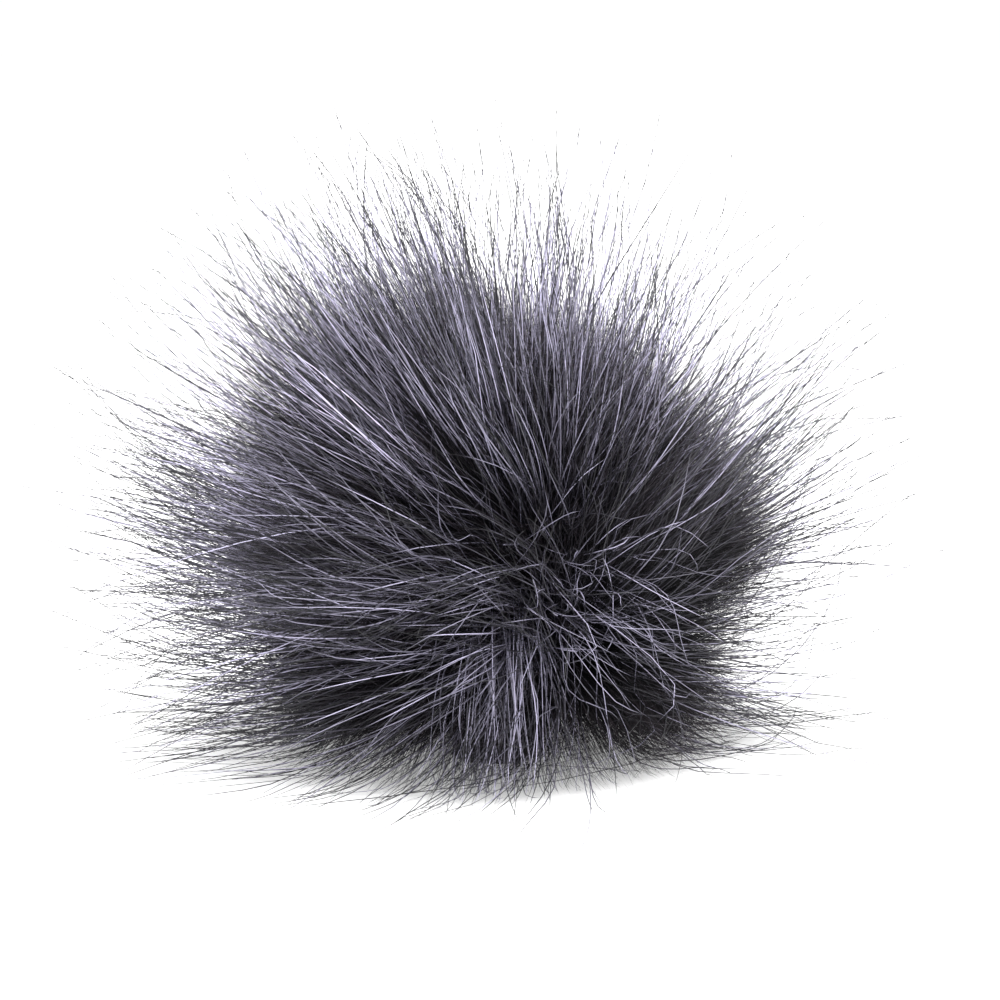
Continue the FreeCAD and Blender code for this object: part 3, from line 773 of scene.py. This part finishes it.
# folded tape round the mouth, puckered between the stitches that hold it
def makeBinding():
    low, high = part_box("mouth_binding")
    outer, inner = high[0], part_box("backing_left")[1][1] - binding["clothLap"]
    bottom, top = low[2], high[2]
    middle = 0.5 * (outer + inner)
    profile = [(inner, top), (inner, bottom + 1.3 * mm), (inner + 0.12 * mm, bottom + 0.45 * mm),
               (inner + 0.4 * mm, bottom + 0.1 * mm), (middle, bottom), (outer - 0.4 * mm, bottom + 0.1 * mm),
               (outer - 0.12 * mm, bottom + 0.45 * mm), (outer, bottom + 1.2 * mm),
               (outer, bottom + 1.75 * mm), (outer - 0.05 * mm, top - 0.2 * mm), (outer - 0.3 * mm, top)]
    piece = drawOutRings("mouthBinding", profile, 4 * binding["puckers"])
    selectOpenEdges()
    bpy.ops.mesh.bridge_edge_loops()
    faceOutwards()
    bpy.ops.object.mode_set(mode="OBJECT")
    points = meshPoints(piece)
    around = np.arctan2(points[:, 1], points[:, 0])
    share = 0.5 - 0.5 * np.cos(around * binding["puckers"])
    lower = np.clip((top - points[:, 2]) / (top - bottom), 0, 1)
    outside = np.hypot(points[:, 0], points[:, 1]) > middle
    inward = binding["pucker"] * share * (0.35 + 0.65 * lower) * outside
    points[:, :2] *= (1 - inward / outer)[:, None]
    points[:, 2] += binding["pucker"] * share * lower ** 2 * 0.8
    setMeshPoints(piece, points)
    applyModifier(piece, "SUBSURF", levels=1, render_levels=1)
    bpy.ops.object.shade_smooth()
    piece.data.materials.append(tapeSurface("bindingTape", bindingLook))
    setOnBody(piece, "fur", "binding_tape", "mouth_binding")
    return piece, outer, bottom


# short straight stitches round the tape, in the valleys between its puckers
def makeBindingStitches(outer, bottom):
    count = binding["puckers"]
    bpy.ops.object.select_all(action="DESELECT")
    bpy.ops.mesh.primitive_cylinder_add(vertices=8, radius=binding["stitchRadius"],
                                        depth=binding["stitchLength"], rotation=(math.pi / 2, 0, 0))
    stitch = bpy.context.object
    stitch.name = "bindingStitches"
    bpy.ops.object.transform_apply(location=True, rotation=True, scale=True)
    applyModifier(stitch, "BEVEL", width=0.05 * mm, segments=2, limit_method="ANGLE")
    points = meshPoints(stitch)
    bend = (points[:, 1] / (0.5 * binding["stitchLength"])) ** 2
    points[:, 0] -= bend * 0.10 * mm
    setMeshPoints(stitch, points)
    copies = [stitch]
    for index in range(1, count):
        copies.append(bpy.data.objects.new(f"stitchCopy{index}", stitch.data.copy()))
        bpy.context.collection.objects.link(copies[index])
    for index, copy in enumerate(copies):
        turn = (index + 0.5) * 2 * math.pi / count
        out = outer - binding["pucker"] * 0.30 + binding["stitchRadius"] * 0.4
        offset = Vector((out, 0, bottom + binding["stitchHeight"]))
        copy.data.transform(Matrix.Rotation(turn, 4, "Z") @ Matrix.Translation(offset))
    bpy.ops.object.select_all(action="DESELECT")
    for copy in copies:
        copy.select_set(True)
    bpy.context.view_layer.objects.active = stitch
    bpy.ops.object.join()
    bpy.ops.object.shade_smooth_by_angle(angle=math.radians(60))
    stitch.data.materials.append(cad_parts["seam_thread"].data.materials[0])
    setOnBody(stitch, "fur", "sewing_thread")


_, bindingOuter, bindingBottom = makeBinding()
makeBindingStitches(bindingOuter, bindingBottom)
print("mouth binding and its stitches made")


toneColumns = 64      # a strand's column in its UV map is how light its band is


# colour along a strand: dark root, lighter band, dark tip
def strandTone():
    group, entry, leave = newGroup("strandTone", {
        "Root": (0.01, 0.01, 0.012, 1.0), "Band": (0.4, 0.4, 0.46, 1.0), "Tip": (0.03, 0.03, 0.035, 1.0),
        "Rise": 0.25, "Fall": 0.8}, {"Color": 4})
    uv = addNode(group, "ShaderNodeUVMap", {"uv_map": "OFBake"})
    across, along, _ = addNode(group, "ShaderNodeSeparateXYZ", None, i0=uv.outputs[0]).outputs
    column = mathNode(group, "FLOOR", times(group, across, float(toneColumns)))
    tone = mathNode(group, "DIVIDE", column, float(toneColumns - 1))
    noise = addNode(group, "ShaderNodeTexWhiteNoise", {"noise_dimensions": "1D"}, W=column)
    moved = plus(group, along, times(group, minus(group, noise.outputs["Value"], 0.5), 0.24))
    rise = smoothStep(group, moved, minus(group, entry["Rise"], 0.12), plus(group, entry["Rise"], 0.16))
    fall = smoothStep(group, moved, minus(group, entry["Fall"], 0.06), plus(group, entry["Fall"], 0.14))
    bright = between(group, mathNode(group, "POWER", tone, 1.4), 0.04, 1.15)
    band = addNode(group, "ShaderNodeVectorMath", {"operation": "SCALE"}, i0=entry["Band"], Scale=bright)
    lower = mixColour(group, rise, entry["Root"], band.outputs[0])
    return closeGroup(group, leave, mixColour(group, fall, lower, entry["Tip"]))


strandGroup = strandTone()


def furMaterial(name, root, band, tip, rise, fall, roughness, specular=0.5):
    material, tree, shader = newMaterial(name)
    tone = useGroup(tree, strandGroup, Root=(*root, 1), Band=(*band, 1), Tip=(*tip, 1), Rise=rise, Fall=fall)
    tree.links.new(tone.outputs[0], shader.inputs["Base Color"])
    shader.inputs["Roughness"].default_value = roughness
    shader.inputs["Specular IOR Level"].default_value = specular
    return material


bagLow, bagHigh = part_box("backing_left")
fur = {
    "bagRadius": -bagLow[0],
    "mouth": bagLow[2],
    "domeCentre": bagHigh[2] + bagLow[0],
    "mouthSpread": 6.6 * mm,       # how far up the bag the hairs start to point down
    "partLow": math.radians(-44),  # ends of the parting, as elevations on the bag
    "partHigh": math.radians(-14),
    "shapeCentre": 21.0 * mm,        # middle and radius of the body of the fur
    "shapeRadius": 28.0 * mm,
    "swells": [                      # where the body stands out or lies flat, and by how much
        ((0.0, 0.0, 1.0), 3, -0.12),
        ((-0.48, 0.43, 0.77), 8, 0.37),
        ((-0.74, 0.67, 0.0), 6, -0.09),
        ((0.40, -0.36, 0.84), 6, -0.03),
        ((0.74, -0.67, -0.15), 5, 0.05),
        ((-0.52, 0.47, -0.71), 7, -0.06),
        ((0.52, -0.47, -0.71), 7, -0.04),
        ((-0.50, -0.55, -0.67), 4, -0.17),
        ((0.0, 0.0, -1.0), 3, -0.18),
    ],
    "floorGap": 0.25 * mm,
    "floorSoft": 1.2 * mm,
    "waves": [(3, 2.4), (10, 9.0)],  # seed and scale of the wide and of the fine waves
    "waveCount": 6,
}


def unit(v):
    return v / np.maximum(np.linalg.norm(v, axis=-1, keepdims=True), 1e-12)


# roots spread evenly over the bag, with the direction that points away from it
def rootsOnBag(count, rng):
    radius = fur["bagRadius"]
    low = fur["mouth"] + 0.6 * mm
    straight = fur["domeCentre"] - low
    onSide = rng.random(count) < straight / (straight + radius)
    angle = rng.random(count) * 2 * math.pi
    share = rng.random(count)
    height = np.where(onSide, low + share * straight, fur["domeCentre"] + share * radius)
    over = np.clip(height - fur["domeCentre"], 0, radius)
    ring = np.sqrt(radius ** 2 - over ** 2)
    roots = np.stack([ring * np.cos(angle), ring * np.sin(angle), height], axis=1)
    axisHeight = np.clip(height, fur["mouth"] + fur["mouthSpread"], fur["domeCentre"])
    middle = np.stack([np.zeros(count), np.zeros(count), axisHeight], axis=1)
    return roots, unit(roots - middle)


# wide and fine waves over the bag, so that neighbouring hairs lean alike
def coatWaves(normals):
    total = np.zeros_like(normals)
    for seed, scale in fur["waves"]:
        rng = np.random.default_rng(seed)
        for _ in range(fur["waveCount"]):
            pitch = rng.normal(size=(3, 3)) * scale
            phase = rng.random(3) * 2 * math.pi
            total += np.sin(normals @ pitch + phase)
    return total / fur["waveCount"]


# the nearest direction on the parting, and the cosine of and the angle to it
def partingDistance(normals):
    elevation = np.arcsin(np.clip(normals[:, 2], -1, 1))
    nearest = np.clip(elevation, fur["partLow"], fur["partHigh"])
    part = np.stack([np.zeros(len(normals)), -np.cos(nearest), np.sin(nearest)], axis=1)
    cosine = np.sum(normals * part, axis=1)
    return part, cosine, np.arccos(np.clip(cosine, -1, 1))


# direction of each hair at a share of its length: out of the bag, then away from the parting
def hairDirection(normals, share, lean, parted):
    part, cosine, away = partingDistance(normals)
    sideways = unit(normals - cosine[:, None] * part + 1e-6 * np.sign(normals[:, :1]) * np.array([1.0, 0, 0]))
    final = parted + away * (math.pi - parted) / math.pi
    turn = away + (final - away) * (1 - np.exp(-3.2 * share)) / (1 - math.exp(-3.2))
    turn = turn[:, None]
    return unit(np.cos(turn) * part + np.sin(turn) * sideways + lean)


# points along each hair, from its root to its tip
def hairPaths(roots, normals, lengths, parted, segments, droop, lean):
    count = len(roots)
    paths = np.zeros((count, segments + 1, 3))
    paths[:, 0] = roots
    for step in range(segments):
        share = (step + 0.5) / segments
        ahead = hairDirection(normals, np.full(count, share), lean * (0.3 + share), parted)
        ahead[:, 2] -= droop * share ** 1.5
        paths[:, step + 1] = paths[:, step] + unit(ahead) * (lengths / segments)[:, None]
    return paths


# how far the body of the fur reaches in each direction
def bodyReach(directions):
    gain = np.ones(len(directions))
    for toward, sharpness, share in fur["swells"]:
        gain += share * np.clip(directions @ unit(np.array(toward)), 0, 1) ** sharpness
    return gain * fur["shapeRadius"]


# shortens the hairs that reach further past the body of the fur than they should
def trimToBody(paths, over, overSpread, rng):
    middle = np.array([0, 0, fur["shapeCentre"]])
    tips = paths[:, -1] - middle
    reach = np.linalg.norm(tips, axis=1)
    limit = bodyReach(unit(tips)) * (over + overSpread * rng.normal(size=len(paths)))
    rootReach = np.linalg.norm(paths[:, 0] - middle, axis=1)
    share = np.clip((limit - rootReach) / np.maximum(reach - rootReach, 1e-6), 0.25, 1)
    return paths[:, :1] + (paths - paths[:, :1]) * share[:, None, None]


def nearestLock(points, centres):
    found = np.zeros(len(points), dtype=int)
    for start in range(0, len(points), 4000):
        block = points[start:start + 4000]
        found[start:start + 4000] = np.argmin(((block[:, None] - centres[None]) ** 2).sum(axis=2), axis=1)
    return found


# one closed three-sided tapered strand for each path, with its column and length in the UV map
def strandMesh(name, paths, radii, taper, columns, rng):
    count, rings = paths.shape[0], paths.shape[1] - 1
    ahead = unit(np.diff(paths, axis=1))
    ahead = unit(np.concatenate([ahead[:, :1], ahead[:, :-1] + ahead[:, 1:]], axis=1))
    across = rng.normal(size=(count, 1, 3))
    side = unit(across - np.sum(across * ahead, axis=2, keepdims=True) * ahead)
    other = np.cross(ahead, side)
    share = np.arange(rings) / rings
    thickness = radii[:, None] * (1 - taper[0] * share ** taper[1])[None]
    corners = []
    for corner in range(3):
        angle = corner * 2 * math.pi / 3
        offset = side * math.cos(angle) + other * math.sin(angle)
        corners.append(paths[:, :rings] + offset * thickness[:, :, None])
    tube = np.stack(corners, axis=2).reshape(count, rings * 3, 3)
    points = np.concatenate([tube, paths[:, -1:]], axis=1)
    perStrand = rings * 3 + 1
    quads, quadUv, triangles, triangleUv = [], [], [], []
    for step in range(rings):
        for corner in range(3):
            near, far = step * 3 + corner, step * 3 + (corner + 1) % 3
            left, right = corner / 3, (corner + 1) / 3
            low, high = step / rings, (step + 1) / rings
            if step < rings - 1:
                quads.append([near, far, far + 3, near + 3])
                quadUv.append([(left, low), (right, low), (right, high), (left, high)])
            else:
                triangles.append([near, far, perStrand - 1])
                triangleUv.append([(left, low), (right, low), ((left + right) / 2, 1)])
    triangles.append([2, 1, 0])
    triangleUv.append([(0, 0), (1, 0), (0.5, 0.02)])
    first = (np.arange(count) * perStrand)[:, None, None]
    quadIndex = (np.array(quads)[None] + first).reshape(-1, 4)
    triangleIndex = (np.array(triangles)[None] + first).reshape(-1, 3)
    mesh = bpy.data.meshes.new(name)
    mesh.vertices.add(count * perStrand)
    mesh.vertices.foreach_set("co", points.astype(np.float32).ravel())
    loops = np.concatenate([quadIndex.ravel(), triangleIndex.ravel()]).astype(np.int32)
    mesh.loops.add(len(loops))
    mesh.loops.foreach_set("vertex_index", loops)
    quadStarts = np.arange(len(quadIndex)) * 4
    triangleStarts = len(quadIndex) * 4 + np.arange(len(triangleIndex)) * 3
    mesh.polygons.add(len(quadIndex) + len(triangleIndex))
    mesh.polygons.foreach_set("loop_start", np.concatenate([quadStarts, triangleStarts]).astype(np.int32))
    mesh.update(calc_edges=True)
    mesh.polygons.foreach_set("use_smooth", np.ones(len(mesh.polygons), dtype=bool))
    uvParts = []
    for pattern in (np.array(quadUv, dtype=float), np.array(triangleUv, dtype=float)):
        laid = np.repeat(pattern[None], count, axis=0)
        laid[..., 0] = (columns[:, None, None] + 0.1 + 0.8 * laid[..., 0]) / toneColumns
        uvParts.append(laid.reshape(-1, 2))
    layer = mesh.uv_layers.new(name="OFBake")
    layer.data.foreach_set("uv", np.concatenate(uvParts).astype(np.float32).ravel())
    piece = bpy.data.objects.new(name, mesh)
    bpy.context.collection.objects.link(piece)
    return piece


# lifts what would go through the ground, with a soft bend
def restOnFloor(paths):
    soft = fur["floorSoft"]
    over = (paths[..., 2] - fur["floorGap"]) / soft
    lifted = fur["floorGap"] + soft * np.logaddexp(0, over)
    root = paths[:, :1, 2]
    share = np.linspace(0, 1, paths.shape[1])[None]
    paths[..., 2] = np.where(share == 0, root, lifted)
    return paths


# shortens the few hairs that would reach past the model's box by more than 3 per cent of its size and 9.5 mm
def keepInSpace(paths):
    spare = 0.03 * (np.array(cadHigh) - np.array(cadLow)) + 9.5 * mm
    low = np.array(cadLow) - spare
    high = np.array(cadHigh) + spare
    root = paths[:, 0]
    reachHigh = np.maximum(paths.max(axis=1) - root, 1e-9)
    reachLow = np.maximum(root - paths.min(axis=1), 1e-9)
    share = np.minimum((high - root) / reachHigh, (root - low) / reachLow).min(axis=1)
    return root[:, None] + (paths - root[:, None]) * np.minimum(share, 1)[:, None, None]


# the light or dark tone of each hair, alike within a lock; hairs low on the bag and hairs near the parting
# are painted darker, as painted shade
def strandColumns(coat, normals, lock, rng):
    tone = coat["tone"] + rng.normal(size=len(normals)) * coat["toneSpread"]
    tone += (rng.normal(size=coat["locks"]) * coat["lockToneSpread"])[lock]
    # painted shade: hairs that face downwards get a darker band
    tone -= coat["lowPaintedShade"] * np.clip(0.25 - normals[:, 2], 0, 1)
    # painted shade in the cleft of the parting: hairs near it get a darker band
    tone -= coat["partingPaintedShade"] * np.exp(-(partingDistance(normals)[2] / math.radians(26)) ** 2)
    return np.clip(tone * toneColumns, 0, toneColumns - 1).astype(int)


# the strands of a coat, as pieces of the left and of the right panel
def layStrands(name, coat, material, roots, normals, lock, paths, rng):
    paths = restOnFloor(keepInSpace(paths))
    radii = coat["radius"] * rng.uniform(0.7, 1.25, len(roots))
    columns = strandColumns(coat, normals, lock, rng)
    for panel, chosen in (("left", roots[:, 0] < 0), ("right", roots[:, 0] >= 0)):
        order = np.flatnonzero(chosen)
        parts = {f"{name}_{panel}": order}
        if "pieces" in coat:
            order = order[np.argsort(np.arctan2(roots[order, 1], abs(roots[order, 0])))]
            split = np.array_split(order, coat["pieces"])
            parts = {f"{name}_{panel}_{index + 1}": part for index, part in enumerate(split)}
        for label, part in parts.items():
            if len(part):
                piece = strandMesh(label, paths[part], radii[part], coat["taper"], columns[part], rng)
                piece.data.materials.append(material)
                setOnBody(piece, "fur", "fur_pile", f"pile_{panel}")
    print(name, len(roots), "hairs laid")


# a coat of hairs in locks, as pieces of the left and the right panel
def growCoat(name, coat, material):
    rng = np.random.default_rng(coat["seed"])
    count = coat["count"]
    roots, normals = rootsOnBag(count, rng)
    lockRoots, lockNormals = rootsOnBag(coat["locks"], rng)
    lock = nearestLock(roots, lockRoots)
    waves = coatWaves(normals) * coat["waveLean"]
    lockLean = rng.normal(size=(coat["locks"], 3)) * coat["lockLean"]
    stray = rng.normal(size=(count, 3)) * coat["hairLean"]
    lengths = rng.uniform(coat["shortest"], coat["longest"], count)
    lengths *= 1 + coat["lockLengthSpread"] * rng.normal(size=coat["locks"])[lock]
    lean = waves + lockLean[lock] + stray
    paths = hairPaths(roots, normals, lengths, coat["parted"], coat["segments"], coat["droop"], lean)
    lockWaves = coatWaves(lockNormals) * coat["waveLean"]
    meanLength = 0.5 * (coat["shortest"] + coat["longest"])
    lockPaths = hairPaths(lockRoots, lockNormals, np.full(coat["locks"], meanLength), coat["parted"],
                          coat["segments"], coat["droop"], lockWaves + lockLean)
    share = np.linspace(0, 1, coat["segments"] + 1)[None, :, None]
    pull = np.clip(rng.normal(coat["pull"], 0.15, coat["locks"]), 0, 0.9)[lock][:, None, None]
    pull = pull * (rng.random(count) < coat["inLock"])[:, None, None]
    paths += (lockPaths[lock] - paths) * pull * share ** 1.4
    wobble = rng.normal(size=(count, 1, 3)) * coat["wobble"]
    phase = rng.random((count, 1, 1)) * 6
    paths += wobble * np.sin(phase + share * rng.uniform(3, 8, (count, 1, 1))) * share
    paths = trimToBody(paths, coat["over"], coat["overSpread"], rng)
    layStrands(name, coat, material, roots, normals, lock, paths, rng)


# a few hairs with a course of their own, rooted in a window of the bag
def growGroup(name, group, material):
    rng = np.random.default_rng(group["seed"])
    count = group["count"]
    radius = fur["bagRadius"]
    angle = np.radians(rng.normal(group["turn"], group["turnSpread"], count))
    height = np.clip(rng.normal(group["height"], group["heightSpread"], count),
                     fur["mouth"] + 0.6 * mm, fur["domeCentre"])
    outward = np.stack([np.sin(angle), -np.cos(angle), np.zeros(count)], axis=1)
    roots = outward * radius
    roots[:, 2] = height
    lengths = rng.uniform(group["shortest"], group["longest"], count)
    lean = rng.normal(size=(count, 3)) * group["hairLean"]
    lockCount = group["locks"]
    lock = rng.integers(0, lockCount, count)
    lean += (rng.normal(size=(lockCount, 3)) * group["lockLean"])[lock]
    segments = group["segments"]
    pull = np.array(group["pullTo"]) + outward * group["pullOut"]
    paths = np.zeros((count, segments + 1, 3))
    paths[:, 0] = roots
    for step in range(segments):
        share = (step + 0.5) / segments
        ahead = outward * (1 - share) ** group["turnOver"] + pull * share + lean
        paths[:, step + 1] = paths[:, step] + unit(ahead) * (lengths / segments)[:, None]
    share = np.linspace(0, 1, segments + 1)[None, :, None]
    for wave in (1, 2):
        sway = (0.8 * rng.normal(size=(lockCount, 1, 3))[lock] + 0.45 * rng.normal(size=(count, 1, 3))) / wave
        phase = 6 * rng.random((lockCount, 1, 1))[lock] + rng.normal(size=(count, 1, 1)) * 0.4
        turns = rng.uniform(3, 7, (lockCount, 1, 1))[lock] * wave
        paths += sway * group["wobble"] * np.sin(phase + share * turns) * share
    layStrands(name, group, material, roots, outward, lock, paths, rng)


underfur = {
    "seed": 11, "count": 60000, "pieces": 4, "segments": 3, "radius": 0.021 * mm, "taper": (0.75, 1.5),
    "locks": 900, "pull": 0.12, "inLock": 0.7, "parted": math.radians(52), "droop": 0.04,
    "shortest": 18.0 * mm, "longest": 30.0 * mm, "lockLengthSpread": 0.03,
    "over": 0.95, "overSpread": 0.07,
    "waveLean": 0.22, "lockLean": 0.08, "hairLean": 0.19, "wobble": 0.35 * mm,
    "tone": 0.5, "toneSpread": 0.18, "lockToneSpread": 0.12, "lowPaintedShade": 0.25,
    "partingPaintedShade": 0.1,
}

guardHairs = {
    "seed": 12, "count": 7000, "pieces": 1, "segments": 6, "radius": 0.048 * mm, "taper": (0.85, 2.0),
    "locks": 700, "pull": 0.50, "inLock": 0.75, "parted": math.radians(62), "droop": 0.05,
    "shortest": 17.0 * mm, "longest": 27.0 * mm, "lockLengthSpread": 0.08,
    "over": 1.0, "overSpread": 0.08,
    "waveLean": 0.24, "lockLean": 0.14, "hairLean": 0.19, "wobble": 0.6 * mm,
    "tone": 0.37, "toneSpread": 0.42, "lockToneSpread": 0.27, "lowPaintedShade": 0.95,
    "partingPaintedShade": 0.40,
}

longHairs = {
    "seed": 13, "count": 4600, "pieces": 1, "segments": 8, "radius": 0.050 * mm, "taper": (0.55, 3.0),
    "locks": 380, "pull": 0.60, "inLock": 0.8, "parted": math.radians(66), "droop": 0.04,
    "shortest": 26.0 * mm, "longest": 41.0 * mm, "lockLengthSpread": 0.10,
    "over": 1.36, "overSpread": 0.2,
    "waveLean": 0.25, "lockLean": 0.17, "hairLean": 0.18, "wobble": 0.9 * mm,
    "tone": 0.45, "toneSpread": 0.42, "lockToneSpread": 0.27, "lowPaintedShade": 0.85,
    "partingPaintedShade": 0.32,
}

strayHairs = {
    "seed": 14, "count": 1200, "pieces": 1, "segments": 10, "radius": 0.050 * mm, "taper": (0.5, 3.0),
    "locks": 150, "pull": 0.35, "inLock": 0.55, "parted": math.radians(62), "droop": 0.05,
    "shortest": 36.0 * mm, "longest": 46.0 * mm, "lockLengthSpread": 0.03,
    "over": 1.7, "overSpread": 0.22,
    "waveLean": 0.3, "lockLean": 0.22, "hairLean": 0.24, "wobble": 1.4 * mm,
    "tone": 0.24, "toneSpread": 0.25, "lockToneSpread": 0.15, "lowPaintedShade": 0.2,
    "partingPaintedShade": 0.1,
}

# short hairs round the mouth that droop to the floor and hide the housing
lowFill = {
    "seed": 15, "count": 9800, "turn": -42.0, "turnSpread": 115.0, "height": 9.0 * mm,
    "heightSpread": 1.6 * mm, "shortest": 10 * mm, "longest": 19 * mm, "segments": 4, "locks": 260,
    "radius": 0.024 * mm, "taper": (0.75, 1.5), "hairLean": 0.20, "lockLean": 0.16,
    "pullTo": (0.0, 0.0, -1.1), "pullOut": 0.75, "turnOver": 0.6, "wobble": 0.5 * mm,
    "tone": 0.35, "toneSpread": 0.15, "lockToneSpread": 0.1, "lowPaintedShade": 0,
    "partingPaintedShade": 0,
}

frontTuft = {
    "seed": 16, "count": 150, "turn": -38.0, "turnSpread": 4.5, "height": 17.5 * mm,
    "heightSpread": 2.4 * mm, "shortest": 16 * mm, "longest": 26 * mm, "segments": 14, "locks": 7,
    "radius": 0.058 * mm, "taper": (0.5, 3.0), "hairLean": 0.07, "lockLean": 0.13,
    "pullTo": (-0.05, -0.15, -1.9), "pullOut": 0.0, "turnOver": 1.0, "wobble": 1.5 * mm,
    "tone": 0.64, "toneSpread": 0.34, "lockToneSpread": 0.22, "lowPaintedShade": 0,
    "partingPaintedShade": 0,
}

tangle = {
    "seed": 17, "count": 260, "turn": -20.0, "turnSpread": 14.0, "height": 18.5 * mm,
    "heightSpread": 3.2 * mm, "shortest": 14 * mm, "longest": 24 * mm, "segments": 12, "locks": 90,
    "radius": 0.044 * mm, "taper": (0.5, 3.0), "hairLean": 0.35, "lockLean": 0.45,
    "pullTo": (-0.10, -0.3, -0.15), "pullOut": 0.0, "turnOver": 0.8, "wobble": 2.2 * mm,
    "tone": 0.44, "toneSpread": 0.32, "lockToneSpread": 0.15, "lowPaintedShade": 0,
    "partingPaintedShade": 0,
}

underfurMaterial = furMaterial(
    "slateUnderfur", root=(0.0010, 0.0009, 0.0014), band=(0.0062, 0.0056, 0.0084),
    tip=(0.042, 0.030, 0.040), rise=0.35, fall=0.85, roughness=0.6, specular=0.2)
guardMaterial = furMaterial(
    "silverGuardHair", root=(0.004, 0.004, 0.005), band=(0.54, 0.51, 0.69),
    tip=(0.030, 0.025, 0.032), rise=0.26, fall=0.82, roughness=0.40)
longMaterial = furMaterial(
    "longGuardHair", root=(0.004, 0.004, 0.005), band=(0.56, 0.53, 0.71),
    tip=(0.006, 0.006, 0.008), rise=0.26, fall=0.70, roughness=0.42)
tuftMaterial = furMaterial(
    "silverTuftHair", root=(0.006, 0.006, 0.008), band=(0.48, 0.455, 0.61),
    tip=(0.10, 0.10, 0.12), rise=0.12, fall=0.92, roughness=0.40)

growCoat("underfur", underfur, underfurMaterial)
growCoat("guardHair", guardHairs, guardMaterial)
growCoat("longHair", longHairs, longMaterial)
growCoat("strayHair", strayHairs, longMaterial)
growGroup("lowFill", lowFill, underfurMaterial)
growGroup("frontTuft", frontTuft, tuftMaterial)
growGroup("tangledHair", tangle, tuftMaterial)
